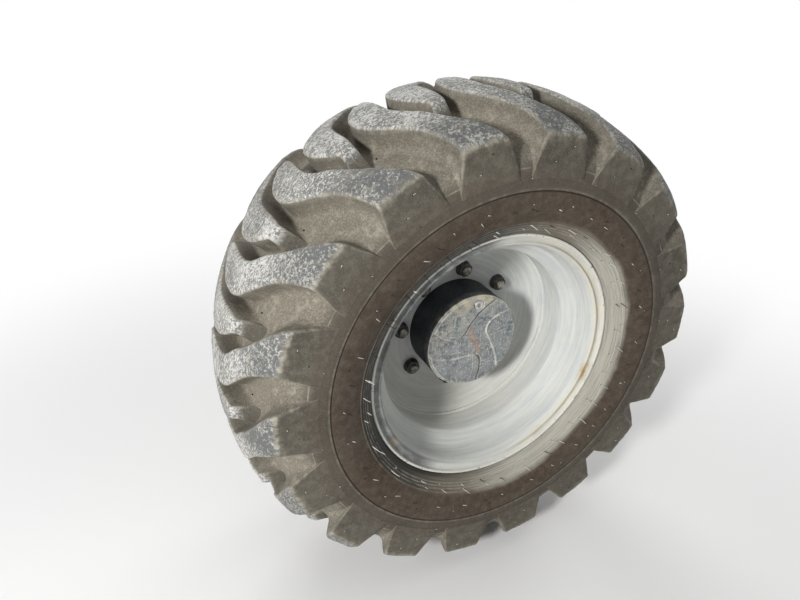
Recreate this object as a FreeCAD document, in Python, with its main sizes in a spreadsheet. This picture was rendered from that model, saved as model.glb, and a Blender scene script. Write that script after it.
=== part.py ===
import FreeCAD, Part
import math
import os

import Sketcher

# A driven wheel of a site dumper on the end of its axle, in millimetres.
# The wheel turns about Y. The axle's bolting face is the plane Y = 0, centred on the origin,
# and the wheel lies towards -Y, so the side that faces outwards on the machine faces -Y.
# "Reach" is the distance outboard of the bolting face, and "offset" the distance outboard of
# the tyre's centre plane.

# Each row is the size's name, its value and what it measures.
SIZES = [
    ("tyre_diameter", 1075.0, "over the tread"),
    ("tyre_section", 408.0, "width over the sidewalls"),
    ("tyre_reach", 217.0, "bolting face to the tyre's centre plane"),
    ("lug_height", 46.0, "at the centre of the tread"),
    ("crown_1_half", 40.0, "tread's section: end of the flat centre"),
    ("crown_2_half", 105.0, "tread's section, second station"),
    ("crown_2_fall", 13.2, "fall from the centre to the second station"),
    ("crown_3_half", 163.0, "tread's section, third station"),
    ("crown_3_fall", 32.5, "fall from the centre to the third station"),
    ("shoulder_half", 201.0, "half width at the lugs' shoulder edges"),
    ("shoulder_fall", 61.5, "fall from the centre to the shoulder edges"),
    ("floor_1_half", 60.0, "groove floor: end of the flat centre"),
    ("floor_2_half", 133.0, "groove floor, second station"),
    ("floor_2_fall", 17.0, "fall from the centre to the second station"),
    ("floor_3_half", 186.0, "groove floor, third station"),
    ("floor_3_fall", 55.0, "fall from the centre to the third station"),
    ("widest_share", 0.623, "widest place, as a share of the way up from the rim to the groove floor"),
    ("sidewall_half", 194.0, "sidewall between the rim and the widest place"),
    ("sidewall_share", 0.282, "that place, as a share of the way up from the rim"),
    ("sidewall_foot_half", 172.0, "sidewall at the bead"),
    ("sidewall_foot_rise", 6.7, "sidewall's foot over the rim's flange"),
    ("crown_wall", 26.0, "rubber under the groove floor"),
    ("side_wall", 17.0, "rubber at the widest place"),
    ("bead_width", 36.0, "width of the bead on its seat"),
    ("bead_gap", 0.3, "bead to rim"),
    ("lug_count", 18, "lugs on each side"),
    ("lug_top_margin", 7.5, "lug's upper section above the tread"),
    ("lug_foot_margin", 10.0, "lug's lower section above the widest place"),
    ("lug_foot_spread", 8.0, "angle of the front wall's foot at the shoulder"),
    ("nose_foot_reach", 131.75, "lower section's nose beyond the upper section's"),
    ("lug_start_angle", 10.0, "shoulder of the first lug behind the top"),
    ("rim_width", 298.0, "between the flanges"),
    ("rim_flange", 14.0, "thickness of a flange"),
    ("rim_seat_radius", 258.5, "bead seat at the flange"),
    ("rim_flange_height", 22.5, "flange above the bead seat"),
    ("rim_seat_width", 43.0, "length of a bead seat"),
    ("rim_seat_fall", 3.6, "fall of a bead seat towards the well"),
    ("rim_well_depth", 29.5, "well under the bead seat"),
    ("rim_well_outer", 80.0, "offset of the well's outboard edge"),
    ("rim_well_inner", 52.0, "offset of the well's inboard edge"),
    ("rim_slope_inner", 85.0, "offset of the inboard slope's top"),
    ("rim_wall", 9.0, "thickness of the rim's sheet"),
    ("disc_reach", 197.0, "bolting face to the disc's nut face"),
    ("disc_wall", 13.0, "thickness of the disc"),
    ("disc_slope_width", 29.75, "disc's outer edge to the dish's knee"),
    ("disc_knee_width", 22.0, "dish's knee to the edge of the flat"),
    ("disc_knee_rise", 11.0, "rise from the flat to the knee"),
    ("disc_rim_rise", 42.0, "rise from the flat to the disc's outer edge"),
    ("disc_bore_radius", 110.5, "bore for the hub"),
    ("seat_gap", 0.25, "pieces that seat in each other"),
    ("stud_circle", 275.0, "pitch circle of the wheel studs"),
    ("stud_count", 8, "wheel studs"),
    ("stud_start_angle", 37.8, "first stud"),
    ("stud_radius", 10.0, "thread of a stud"),
    ("stud_reach", 220.0, "bolting face to the studs' ends"),
    ("stud_head_radius", 15.0, "head behind the hub's flange"),
    ("stud_head", 6.0, "thickness of the head"),
    ("stud_chamfer", 1.6, "chamfer on a stud's end"),
    ("nut_flats", 30.0, "across the flats"),
    ("nut_height", 16.0, "height"),
    ("nut_collar_radius", 18.0, "collar that seats on the disc"),
    ("nut_collar", 3.0, "thickness of the collar"),
    ("hub_flange_radius", 170.0, "hub's flange"),
    ("hub_flange", 22.0, "thickness of the hub's flange"),
    ("hub_barrel_radius", 121.0, "hub inboard of its flange"),
    ("hub_back_reach", 92.0, "bolting face to the hub's back"),
    ("hub_back_chamfer", 14.0, "chamfer at the hub's back"),
    ("hub_bore_radius", 90.0, "gear space"),
    ("gear_space_reach", 190.0, "bolting face to the gear space"),
    ("cover_reach", 284.0, "bolting face to the cover's face"),
    ("cover_wall", 22.0, "thickness of the cover's edge"),
    ("cover_chamfer_width", 9.0, "chamfer on the cover, across"),
    ("cover_chamfer_depth", 11.0, "chamfer on the cover, along"),
    ("cover_spigot", 8.0, "length of the cover's spigot"),
    ("cover_spigot_wall", 12.0, "thickness of the spigot"),
    ("lobe_rise", 3.5, "raised lobes on the cover"),
    ("lobe_arc", 62.0, "radius of a lobe's inner edge"),
    ("lobe_half_angle", 37.2, "half angle of a lobe at the face's edge"),
    ("lobe_margin", 2.0, "lobes in from the face's edge"),
    ("lobe_start_angle", 3.0, "first lobe"),
    ("lobe_count", 3, "lobes"),
    ("plug_across", 9.0, "filler plug from the axis, across"),
    ("plug_up", 87.0, "filler plug from the axis, up"),
    ("plug_radius", 10.5, "filler plug's head"),
    ("plug_head", 3.5, "height of the plug's head"),
    ("plug_shank_radius", 7.0, "filler plug's shank"),
    ("plug_shank", 9.0, "length of the plug's shank"),
    ("plug_socket_radius", 5.2, "socket in the plug's head, to its corners"),
    ("plug_socket", 4.5, "depth of the socket"),
    ("spindle_radius", 60.0, "bearing length of the spindle"),
    ("running_gap", 0.05, "spindle in the hub's bore"),
    ("spindle_root_radius", 70.0, "spindle in the flange"),
    ("spindle_collar_radius", 82.0, "collar against the flange"),
    ("spindle_collar", 21.0, "thickness of the collar"),
    ("spindle_neck_radius", 64.0, "neck under the seal"),
    ("spindle_end_radius", 44.0, "threaded end of the spindle"),
    ("spindle_end_reach", 236.0, "bolting face to the spindle's end"),
    ("spindle_chamfer", 4.0, "chamfer on the spindle's end"),
    ("spindle_hole_radius", 24.0, "centre hole in the spindle's back"),
    ("spindle_hole", 70.0, "depth of the centre hole"),
    ("seal_radius", 116.0, "dust ring"),
    ("seal_wall", 3.0, "thickness of the dust ring's plate"),
    ("seal_lip", 9.0, "depth of the dust ring's lip"),
    ("flange_radius", 155.0, "axle flange"),
    ("flange_wall", 22.0, "thickness of the axle flange"),
    ("flange_boss_radius", 104.0, "boss on the axle flange"),
    ("flange_boss", 45.0, "bolting face to the end of the boss"),
    ("flange_chamfer", 3.0, "chamfer on the axle flange's edge"),
    ("flange_circle", 270.0, "pitch circle of the axle flange's holes"),
    ("flange_holes", 12, "holes in the axle flange"),
    ("flange_hole_radius", 8.75, "holes in the axle flange"),
    ("valve_angle", 127.5, "place of the valve round the rim"),
    ("valve_tilt", 40.0, "valve away from the radius, towards the machine"),
    ("valve_base_radius", 9.0, "valve's rubber foot"),
    ("valve_base", 8.0, "length of the rubber foot"),
    ("valve_stem_radius", 4.0, "valve's stem"),
    ("valve_length", 34.0, "rim to the end of the stem"),
    ("valve_cap_radius", 5.2, "valve's cap"),
    ("valve_cap", 13.0, "length of the cap"),
    ("valve_cap_grip", 8.0, "length of stem inside the cap"),
]

# One lug, drawn round the top of the tyre and seen from above. Each row is a corner's name,
# its offset and angle in the upper section, and the draft of the flat wall from this corner to
# the next. The angles are counted from the lug's shoulder, forwards. The nose's end wall slopes
# by nose_foot_reach instead, and the long front wall, from the arm to the shoulder, twists to
# meet the lug's spread foot.
LUG_CORNERS = [
    ("shoulder_back", 214.0, -4.1, 8.7),
    ("elbow_back", 163.0, 0.8, 10.1),
    ("arm_back", 38.0, 10.1, 14.7),
    ("nose_back", -52.0, 10.3, None),
    ("nose_front", -52.0, 13.4, 11.0),
    ("cheek_front", -10.5, 16.3, -11.7),
    ("arm_front", 38.0, 17.2, None),
    ("shoulder_front", 214.0, 1.5, None),
]
NOSE_WALL = 3


class Size:
    """A size with the expression that gives it, so that sketches start in place and stay bound."""

    def __init__(self, text, value):
        self.text = text
        self.value = value

    def joined(self, sign, other, value):
        text = other.text if isinstance(other, Size) else repr(float(other))
        return Size(f"({self.text} {sign} {text})", value)

    def __add__(self, other):
        return self.joined("+", other, self.value + number(other))

    def __sub__(self, other):
        return self.joined("-", other, self.value - number(other))

    def __mul__(self, other):
        return self.joined("*", other, self.value * number(other))

    def __truediv__(self, other):
        return self.joined("/", other, self.value / number(other))

    def __neg__(self):
        return Size(f"(-1 * {self.text})", -self.value)


def number(size):
    return size.value if isinstance(size, Size) else float(size)


def cosine(angle):
    return Size(f"cos({angle.text})", math.cos(math.radians(angle.value)))


def sine(angle):
    return Size(f"sin({angle.text})", math.sin(math.radians(angle.value)))


def tangent(angle):
    return Size(f"tan({angle.text})", math.tan(math.radians(angle.value)))


doc = FreeCAD.newDocument("dumper_wheel")
sheet = doc.addObject("Spreadsheet::Sheet", "Sizes")
size = {}
rows = [(name, value, note) for name, value, note in SIZES]
for name, offset, angle, draft in LUG_CORNERS:
    rows.append((name + "_offset", offset, "lug's corner"))
    rows.append((name + "_angle", angle, "lug's corner"))
    if draft is not None:
        rows.append((name + "_draft", draft, "wall from that corner to the next"))
for row, (name, value, note) in enumerate(rows, start=1):
    sheet.set(f"A{row}", note)
    sheet.set(f"B{row}", str(value))
    sheet.setAlias(f"B{row}", name)
    size[name] = Size(f"Sizes.{name}", float(value))
doc.recompute()


def new_body(name):
    body = doc.addObject("PartDesign::Body", name)
    body.Label = name
    return body


def origin_item(body, role):
    return next(item for item in body.Origin.OriginFeatures if item.Role == role)


def bind(thing, path, value):
    thing.setExpression(path, value.text)


def new_sketch(body, name, plane, level=None):
    sketch = body.newObject("Sketcher::SketchObject", name)
    sketch.AttachmentSupport = [(origin_item(body, plane), "")]
    sketch.MapMode = "FlatFace"
    if level is not None:
        sketch.AttachmentOffset.Base.z = level.value
        bind(sketch, "AttachmentOffset.Base.z", level)
    return sketch


def fix_coordinate(sketch, kind, axis, geometry, point, place):
    """Hold one coordinate of a point at a named size."""
    value = number(place)
    if value == 0.0:
        sketch.addConstraint(Sketcher.Constraint("PointOnObject", geometry, point, axis))
        return
    if value > 0.0:
        index = sketch.addConstraint(Sketcher.Constraint(kind, -1, 1, geometry, point, value))
    else:
        index = sketch.addConstraint(Sketcher.Constraint(kind, geometry, point, -1, 1, -value))
        place = -place if isinstance(place, Size) else place
    if isinstance(place, Size):
        bind(sketch, f"Constraints[{index}]", place)


def arc_centre(start, end, radius):
    """The centre of the short arc from start to end; a negative radius turns clockwise."""
    middle = (start + end) / 2
    along = end - start
    side = FreeCAD.Vector(-along.y, along.x, 0).normalize()
    height = math.sqrt(radius * radius - along.Length * along.Length / 4)
    return middle + side * math.copysign(height, radius)


def add_outline(sketch, corners):
    """Draw a closed outline. A corner is (x, y) or (x, y, radius of the arc to the next corner)."""
    points = [FreeCAD.Vector(number(corner[0]), number(corner[1]), 0) for corner in corners]
    ends = []
    for here, corner in enumerate(corners):
        start = points[here]
        end = points[(here + 1) % len(corners)]
        if len(corner) == 2:
            geometry = sketch.addGeometry(Part.LineSegment(start, end), False)
            ends.append((geometry, 1, 2))
            continue
        radius = corner[2].value
        centre = arc_centre(start, end, radius)
        turn = [math.atan2(point.y - centre.y, point.x - centre.x) for point in (start, end)]
        if radius < 0:
            turn.reverse()
        circle = Part.Circle(centre, FreeCAD.Vector(0, 0, 1), abs(radius))
        geometry = sketch.addGeometry(Part.ArcOfCircle(circle, turn[0], turn[1]), False)
        ends.append((geometry, 1, 2) if radius > 0 else (geometry, 2, 1))
        index = sketch.addConstraint(Sketcher.Constraint("Radius", geometry, abs(radius)))
        bind(sketch, f"Constraints[{index}]", corner[2] if radius > 0 else -corner[2])
    for here, corner in enumerate(corners):
        geometry, first, last = ends[here]
        following = ends[(here + 1) % len(corners)]
        sketch.addConstraint(Sketcher.Constraint("Coincident", geometry, last, following[0], following[1]))
        fix_coordinate(sketch, "DistanceX", -2, geometry, first, corner[0])
        fix_coordinate(sketch, "DistanceY", -1, geometry, first, corner[1])


def add_circle(sketch, across, up, radius):
    centre = FreeCAD.Vector(number(across), number(up), 0)
    circle = Part.Circle(centre, FreeCAD.Vector(0, 0, 1), radius.value)
    geometry = sketch.addGeometry(circle, False)
    index = sketch.addConstraint(Sketcher.Constraint("Radius", geometry, radius.value))
    bind(sketch, f"Constraints[{index}]", radius)
    fix_coordinate(sketch, "DistanceX", -2, geometry, 3, across)
    fix_coordinate(sketch, "DistanceY", -1, geometry, 3, up)


def turned(body, name, corners, kind="PartDesign::Revolution"):
    """Turn an outline of (radius, reach) corners about the axle's line."""
    sketch = new_sketch(body, name + "_outline", "XY_Plane")
    add_outline(sketch, [(corner[0], -corner[1], *corner[2:]) for corner in corners])
    feature = body.newObject(kind, name)
    feature.Profile = sketch
    feature.ReferenceAxis = (sketch, ["V_Axis"])
    feature.Angle = 360
    return feature


def repeated(body, name, feature, count):
    """Repeat a feature round the axle's line."""
    pattern = body.newObject("PartDesign::PolarPattern", name)
    pattern.Originals = [feature]
    pattern.Axis = (origin_item(body, "Y_Axis"), [""])
    pattern.Angle = 360
    pattern.Occurrences = int(count.value)
    bind(pattern, "Occurrences", count)
    body.Tip = pattern
    return pattern


def drilled(body, name, circle, count, start_angle, radius):
    """Cut a circle of through holes parallel to the axle's line."""
    sketch = new_sketch(body, name + "_outline", "XZ_Plane")
    half = circle / 2
    add_circle(sketch, half * cosine(start_angle), half * sine(start_angle), radius)
    pocket = body.newObject("PartDesign::Pocket", name + "_one")
    pocket.Profile = sketch
    pocket.Type = "ThroughAll"
    pocket.Midplane = True
    return repeated(body, name, pocket, count)


def round_pad(body, name, level, across, up, radius, length, inboard=False):
    """Stand a cylinder on the plane at a reach, outboard unless told otherwise."""
    sketch = new_sketch(body, name + "_outline", "XZ_Plane", level)
    add_circle(sketch, across, up, radius)
    pad = body.newObject("PartDesign::Pad", name)
    pad.Profile = sketch
    pad.Reversed = inboard
    pad.Length = length.value
    bind(pad, "Length", length)
    return pad


# Tyre
tyre_radius = size["tyre_diameter"] / 2
tyre_reach = size["tyre_reach"]
section_half = size["tyre_section"] / 2
floor_radius = tyre_radius - size["lug_height"]
floor_edge = floor_radius - size["floor_3_fall"]
lip_radius = size["rim_seat_radius"] + size["rim_flange_height"]
well_radius = size["rim_seat_radius"] - size["rim_well_depth"]
bead_top = lip_radius + size["bead_gap"]
widest_radius = bead_top + (floor_edge - bead_top) * size["widest_share"]
flange_face = size["rim_width"] / 2
lip_half = flange_face + size["rim_flange"]


def at(offset):
    """The reach of an offset from the tyre's centre plane."""
    return tyre_reach + offset


def both_sides(outboard):
    """The corners of a section that is the same on both sides of the tyre's centre plane."""
    near = [(radius, at(offset)) for radius, offset in outboard]
    far = [(radius, at(-offset)) for radius, offset in reversed(outboard)]
    return near + far


def make_carcass(body):
    """The tyre without lugs, filled in to its bead seats."""
    gap = size["bead_gap"]
    heel = flange_face - gap
    seat = size["rim_seat_radius"] + gap
    return turned(body, "carcass", both_sides([
        (floor_radius, size["floor_1_half"]),
        (floor_radius - size["floor_2_fall"], size["floor_2_half"]),
        (floor_edge, size["floor_3_half"]),
        (widest_radius, section_half),
        (bead_top + (floor_edge - bead_top) * size["sidewall_share"], size["sidewall_half"]),
        (bead_top + size["sidewall_foot_rise"], size["sidewall_foot_half"]),
        (bead_top, heel),
        (seat, heel),
        (seat, heel - size["bead_width"]),
    ]))


def crossing(first, second):
    """Where two lines in a sketch cross, each given as a point and a direction."""
    (start, along), (other, across) = first, second
    share = (other - start).cross(across).z / along.cross(across).z
    return start + along * share


def moved_walls(points, shifts):
    """The lines of an outline's walls, each moved outwards by its shift."""
    turns = sum(points[here - 1].cross(points[here]).z for here in range(len(points)))
    lines = []
    for here, shift in enumerate(shifts):
        along = points[here + 1] - points[here]
        outwards = FreeCAD.Vector(along.y, -along.x, 0).normalize() * math.copysign(1, turns)
        lines.append((points[here] + outwards * shift, along))
    return lines


def add_drafted_outline(sketch, upper, corners, shifts, end_corner):
    """Draw the lower section under the upper one. A wall that has a shift is parallel to the
    upper section's and that far outside it, and the last wall runs to the end corner."""
    points = [FreeCAD.Vector(number(across), number(up), 0) for across, up in corners]
    walls = moved_walls(points, [shift.value for shift in shifts])
    level = FreeCAD.Vector(1, 0, 0)
    lower = [crossing(walls[0], (points[0], level))]
    lower += [crossing(walls[here], walls[here + 1]) for here in range(len(walls) - 1)]
    lower.append(crossing(walls[-1], (points[len(walls)], level)))
    lower.append(FreeCAD.Vector(number(end_corner[0]), number(end_corner[1]), 0))
    count = len(lower)
    for here in range(count):
        sketch.addGeometry(Part.LineSegment(lower[here], lower[(here + 1) % count]), False)
    for here in range(count):
        sketch.addConstraint(Sketcher.Constraint("Coincident", here, 2, (here + 1) % count, 1))
    edges = upper.Shape.Edges
    for here, shift in enumerate(shifts):
        middle = (points[here] + points[here + 1]) / 2
        distances = [math.hypot(edge.CenterOfMass.x - middle.x, edge.CenterOfMass.y - middle.y) for edge in edges]
        sketch.addExternal(upper.Name, f"Edge{distances.index(min(distances)) + 1}")
        above = -3 - here
        sketch.addConstraint(Sketcher.Constraint("Parallel", here, above))
        index = sketch.addConstraint(Sketcher.Constraint("Distance", here, 1, above, abs(shift.value)))
        bind(sketch, f"Constraints[{index}]", shift if shift.value > 0 else -shift)
    fix_coordinate(sketch, "DistanceY", -1, 0, 1, corners[0][1])
    fix_coordinate(sketch, "DistanceY", -1, len(shifts), 1, corners[len(shifts)][1])
    fix_coordinate(sketch, "DistanceX", -2, count - 1, 1, end_corner[0])
    fix_coordinate(sketch, "DistanceY", -1, count - 1, 1, end_corner[1])


def make_lug(body, name, side, shift):
    """One lug, lofted from its lower to its upper section. The far side's is mirrored."""
    top_level = tyre_radius + size["lug_top_margin"]
    foot_level = widest_radius + size["lug_foot_margin"]

    def corner(level, offset, angle):
        turn = angle - size["lug_start_angle"] + shift
        return -(level * tangent(turn)), -at(offset * side)

    corners = [corner(top_level, size[row[0] + "_offset"], size[row[0] + "_angle"]) for row in LUG_CORNERS]
    top = new_sketch(body, name + "_top", "XY_Plane", top_level)
    add_outline(top, corners)
    doc.recompute()
    drop = top_level - foot_level
    shifts = [drop * tangent(size[row[0] + "_draft"]) for row in LUG_CORNERS if row[3] is not None]
    shifts.insert(NOSE_WALL, size["nose_foot_reach"])
    foot = new_sketch(body, name + "_foot", "XY_Plane", foot_level)
    spread = corner(foot_level, size["shoulder_front_offset"], size["lug_foot_spread"])
    add_drafted_outline(foot, top, corners, shifts, spread)
    loft = body.newObject("PartDesign::AdditiveLoft", name + "_one")
    loft.Profile = foot
    loft.Sections = [top]
    loft.Ruled = True
    return repeated(body, name, loft, size["lug_count"])


def trim_crown(body):
    """Cut the lugs to the tread's section and to the sidewalls."""
    foot = widest_radius + size["lug_foot_margin"]
    outside = size["tyre_section"]
    return turned(body, "crown_trim", both_sides([
        (tyre_radius, size["crown_1_half"]),
        (tyre_radius - size["crown_2_fall"], size["crown_2_half"]),
        (tyre_radius - size["crown_3_fall"], size["crown_3_half"]),
        (tyre_radius - size["shoulder_fall"], size["shoulder_half"]),
        (foot, section_half),
        (foot, outside),
        (size["tyre_diameter"], outside),
    ]), "PartDesign::Groove")


def hollow_tyre(body):
    """Cut the air space, open between the beads."""
    wall = size["side_wall"]
    toe = flange_face - size["bead_gap"] - size["bead_width"]
    return turned(body, "air_space", both_sides([
        (floor_radius - size["floor_2_fall"] - size["crown_wall"], size["floor_2_half"] - wall),
        (widest_radius, section_half - wall),
        (size["rim_seat_radius"] + wall, toe),
        (size["rim_seat_radius"] - wall, toe),
    ]), "PartDesign::Groove")


def make_tyre():
    body = new_body("tyre")
    make_carcass(body)
    half_pitch = Size("(180 / Sizes.lug_count)", 180 / size["lug_count"].value)
    make_lug(body, "outer_lugs", 1, 0)
    make_lug(body, "inner_lugs", -1, half_pitch)
    trim_crown(body)
    hollow_tyre(body)


def make_rim_barrel():
    """The rim: two flanges, two bead seats and the well between them."""
    body = new_body("rim_barrel")
    lip = lip_radius
    seat = size["rim_seat_radius"]
    fall = seat - size["rim_seat_fall"]
    well = well_radius
    wall = size["rim_wall"]
    seat_end = flange_face - size["rim_seat_width"]
    round_lip = size["rim_flange"] / 3
    corners = [
        (lip - round_lip, at(lip_half)),
        (lip, at(lip_half - round_lip)),
        (lip, at(flange_face + round_lip)),
        (lip - round_lip, at(flange_face)),
        (seat, at(flange_face)),
        (fall, at(seat_end)),
        (well, at(size["rim_well_outer"])),
        (well, at(-size["rim_well_inner"])),
        (fall, at(-size["rim_slope_inner"])),
        (seat, at(-flange_face)),
        (lip - round_lip, at(-flange_face)),
        (lip, at(-flange_face - round_lip)),
        (lip, at(-lip_half + round_lip)),
        (lip - round_lip, at(-lip_half)),
        (seat + wall, at(-lip_half + round_lip / 2)),
        (seat, at(-lip_half + wall / 2)),
        (seat - wall, at(-flange_face + wall / 2)),
        (fall - wall, at(-size["rim_slope_inner"] - wall / 3)),
        (well - wall, at(-size["rim_well_inner"] - wall / 3)),
        (well - wall, at(size["rim_well_outer"] + wall / 3)),
        (fall - wall, at(seat_end + wall / 3)),
        (seat - wall, at(flange_face - wall / 2)),
        (seat, at(lip_half - wall / 2)),
        (seat + wall, at(lip_half - round_lip / 2)),
    ]
    turned(body, "rim_section", corners)


def make_wheel_disc():
    """The dished disc, welded in the well, with its bore and stud holes."""
    body = new_body("wheel_disc")
    face = size["disc_reach"]
    back = face - size["disc_wall"]
    wall = size["disc_wall"]
    edge = well_radius - size["rim_wall"] - size["seat_gap"]
    knee = edge - size["disc_slope_width"]
    flat = knee - size["disc_knee_width"]
    corners = [
        (size["disc_bore_radius"], face),
        (size["disc_bore_radius"], back),
        (flat + wall / 4, back),
        (knee + wall / 2, back + size["disc_knee_rise"]),
        (edge, back + size["disc_rim_rise"] - wall / 3),
        (edge, face + size["disc_rim_rise"]),
        (edge - wall / 2, face + size["disc_rim_rise"] - wall / 3),
        (knee, face + size["disc_knee_rise"]),
        (flat, face),
    ]
    turned(body, "disc_section", corners)
    hole = size["stud_radius"] + size["seat_gap"] * 3
    drilled(body, "stud_holes", size["stud_circle"], size["stud_count"], size["stud_start_angle"], hole)


def make_hub_body():
    """The hub: bearing barrel, wheel flange and the drum that passes through the disc."""
    body = new_body("hub_body")
    drum = size["disc_bore_radius"] - size["seat_gap"]
    flange_front = size["disc_reach"] - size["disc_wall"]
    flange_back = flange_front - size["hub_flange"]
    bearing = size["spindle_radius"] + size["running_gap"]
    chamfer = size["hub_back_chamfer"]
    corners = [
        (bearing, size["hub_back_reach"]),
        (size["hub_barrel_radius"] - chamfer, size["hub_back_reach"]),
        (size["hub_barrel_radius"], size["hub_back_reach"] + chamfer),
        (size["hub_barrel_radius"], flange_back),
        (size["hub_flange_radius"], flange_back),
        (size["hub_flange_radius"], flange_front),
        (drum, flange_front),
        (drum, size["cover_reach"] - size["cover_wall"]),
        (size["hub_bore_radius"], size["cover_reach"] - size["cover_wall"]),
        (size["hub_bore_radius"], size["gear_space_reach"]),
        (bearing, size["gear_space_reach"]),
    ]
    turned(body, "hub_section", corners)
    hole = size["stud_radius"] + size["seat_gap"]
    drilled(body, "stud_holes", size["stud_circle"], size["stud_count"], size["stud_start_angle"], hole)


def make_end_cover():
    """The hub's end cover with three raised lobes, and a hole for its plug."""
    body = new_body("end_cover")
    drum = size["disc_bore_radius"] - size["seat_gap"]
    face = size["cover_reach"]
    back = face - size["cover_wall"]
    spigot = size["hub_bore_radius"] - size["seat_gap"]
    face_radius = drum - size["cover_chamfer_width"]
    zero = 0.0
    inside = back + size["cover_spigot_wall"] / 2
    corners = [
        (zero, inside),
        (spigot - size["cover_spigot_wall"], inside),
        (spigot - size["cover_spigot_wall"], back - size["cover_spigot"]),
        (spigot, back - size["cover_spigot"]),
        (spigot, back),
        (drum, back),
        (drum, face - size["cover_chamfer_depth"]),
        (face_radius, face),
        (zero, face),
    ]
    turned(body, "cover_section", corners)
    edge = face_radius - size["lobe_margin"]
    early = size["lobe_start_angle"] - size["lobe_half_angle"]
    late = size["lobe_start_angle"] + size["lobe_half_angle"]
    sketch = new_sketch(body, "lobe_outline", "XZ_Plane", face)
    add_outline(sketch, [
        (edge * cosine(early), edge * sine(early), edge),
        (edge * cosine(late), edge * sine(late), size["lobe_arc"]),
    ])
    pad = body.newObject("PartDesign::Pad", "lobe")
    pad.Profile = sketch
    pad.Length = size["lobe_rise"].value
    bind(pad, "Length", size["lobe_rise"])
    repeated(body, "lobes", pad, size["lobe_count"])
    hole_outline = new_sketch(body, "plug_hole_outline", "XZ_Plane", face)
    add_circle(hole_outline, size["plug_across"], size["plug_up"], size["plug_shank_radius"] + size["seat_gap"])
    hole = body.newObject("PartDesign::Pocket", "plug_hole")
    hole.Profile = hole_outline
    depth = size["plug_shank"] + size["seat_gap"] * 4
    hole.Length = depth.value
    bind(hole, "Length", depth)
    flat_outline = new_sketch(body, "plug_seat_outline", "XZ_Plane", face + size["lobe_rise"])
    add_circle(flat_outline, size["plug_across"], size["plug_up"], size["plug_radius"] + size["seat_gap"] * 4)
    flat = body.newObject("PartDesign::Pocket", "plug_seat")
    flat.Profile = flat_outline
    flat.Length = size["lobe_rise"].value
    bind(flat, "Length", size["lobe_rise"])


def make_cover_plug():
    """The filler plug, with a hexagon socket."""
    body = new_body("cover_plug")
    face = size["cover_reach"]
    across = size["plug_across"]
    up = size["plug_up"]
    head_outline = new_sketch(body, "head_outline", "XZ_Plane", face)
    add_circle(head_outline, across, up, size["plug_radius"])
    head = body.newObject("PartDesign::Pad", "head")
    head.Profile = head_outline
    head.Length = size["plug_head"].value
    bind(head, "Length", size["plug_head"])
    shank_outline = new_sketch(body, "shank_outline", "XZ_Plane", face)
    add_circle(shank_outline, across, up, size["plug_shank_radius"])
    shank = body.newObject("PartDesign::Pad", "shank")
    shank.Profile = shank_outline
    shank.Reversed = True
    shank.Length = size["plug_shank"].value
    bind(shank, "Length", size["plug_shank"])
    socket_outline = new_sketch(body, "socket_outline", "XZ_Plane", face + size["plug_head"])
    corners = []
    for corner in range(6):
        turn = Size(repr(60.0 * corner), 60.0 * corner)
        corners.append((across + size["plug_socket_radius"] * cosine(turn),
                        up + size["plug_socket_radius"] * sine(turn)))
    add_outline(socket_outline, corners)
    socket = body.newObject("PartDesign::Pocket", "socket")
    socket.Profile = socket_outline
    socket.Length = size["plug_socket"].value
    bind(socket, "Length", size["plug_socket"])


def stud_place():
    half = size["stud_circle"] / 2
    angle = size["stud_start_angle"]
    return half * cosine(angle), half * sine(angle)


def repeated_whole(body, name, count):
    """Repeat the whole body so far round the axle's line."""
    doc.recompute()
    pattern = body.newObject("PartDesign::PolarPattern", name)
    pattern.TransformMode = "Whole shape"
    pattern.Axis = (origin_item(body, "Y_Axis"), [""])
    pattern.Angle = 360
    pattern.Occurrences = int(count.value)
    bind(pattern, "Occurrences", count)
    body.Tip = pattern


def outermost_edge(feature):
    """The name of the edge that lies furthest outboard."""
    edges = feature.Shape.Edges
    index = min(range(len(edges)), key=lambda place: edges[place].CenterOfMass.y)
    return f"Edge{index + 1}"


def add_chamfer(body, name, base, edge, width):
    chamfer = body.newObject("PartDesign::Chamfer", name)
    chamfer.Base = (base, [edge])
    chamfer.Size = width.value
    bind(chamfer, "Size", width)
    return chamfer


def make_wheel_studs():
    """The studs, pressed into the hub's flange from behind."""
    body = new_body("wheel_studs")
    across, up = stud_place()
    flange_back = size["disc_reach"] - size["disc_wall"] - size["hub_flange"]
    shank = round_pad(body, "shank", flange_back, across, up, size["stud_radius"],
                      size["stud_reach"] - flange_back)
    doc.recompute()
    add_chamfer(body, "end_chamfer", shank, outermost_edge(shank), size["stud_chamfer"])
    round_pad(body, "head", flange_back, across, up, size["stud_head_radius"], size["stud_head"], inboard=True)
    repeated_whole(body, "studs", size["stud_count"])


def make_wheel_nuts():
    """The collared nuts that hold the disc to the hub."""
    body = new_body("wheel_nuts")
    across, up = stud_place()
    face = size["disc_reach"]
    round_pad(body, "collar", face, across, up, size["nut_collar_radius"], size["nut_collar"])
    sketch = new_sketch(body, "hexagon_outline", "XZ_Plane", face)
    radius = size["nut_flats"] / (2 * math.cos(math.radians(30)))
    corners = []
    for corner in range(6):
        turn = Size(repr(60.0 * corner), 60.0 * corner)
        corners.append((across + radius * cosine(turn), up + radius * sine(turn)))
    add_outline(sketch, corners)
    hexagon = body.newObject("PartDesign::Pad", "hexagon")
    hexagon.Profile = sketch
    hexagon.Length = size["nut_height"].value
    bind(hexagon, "Length", size["nut_height"])
    hole_outline = new_sketch(body, "hole_outline", "XZ_Plane", face)
    add_circle(hole_outline, across, up, size["stud_radius"] + size["seat_gap"])
    hole = body.newObject("PartDesign::Pocket", "hole")
    hole.Profile = hole_outline
    hole.Type = "ThroughAll"
    hole.Midplane = True
    repeated_whole(body, "nuts", size["stud_count"])


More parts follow.
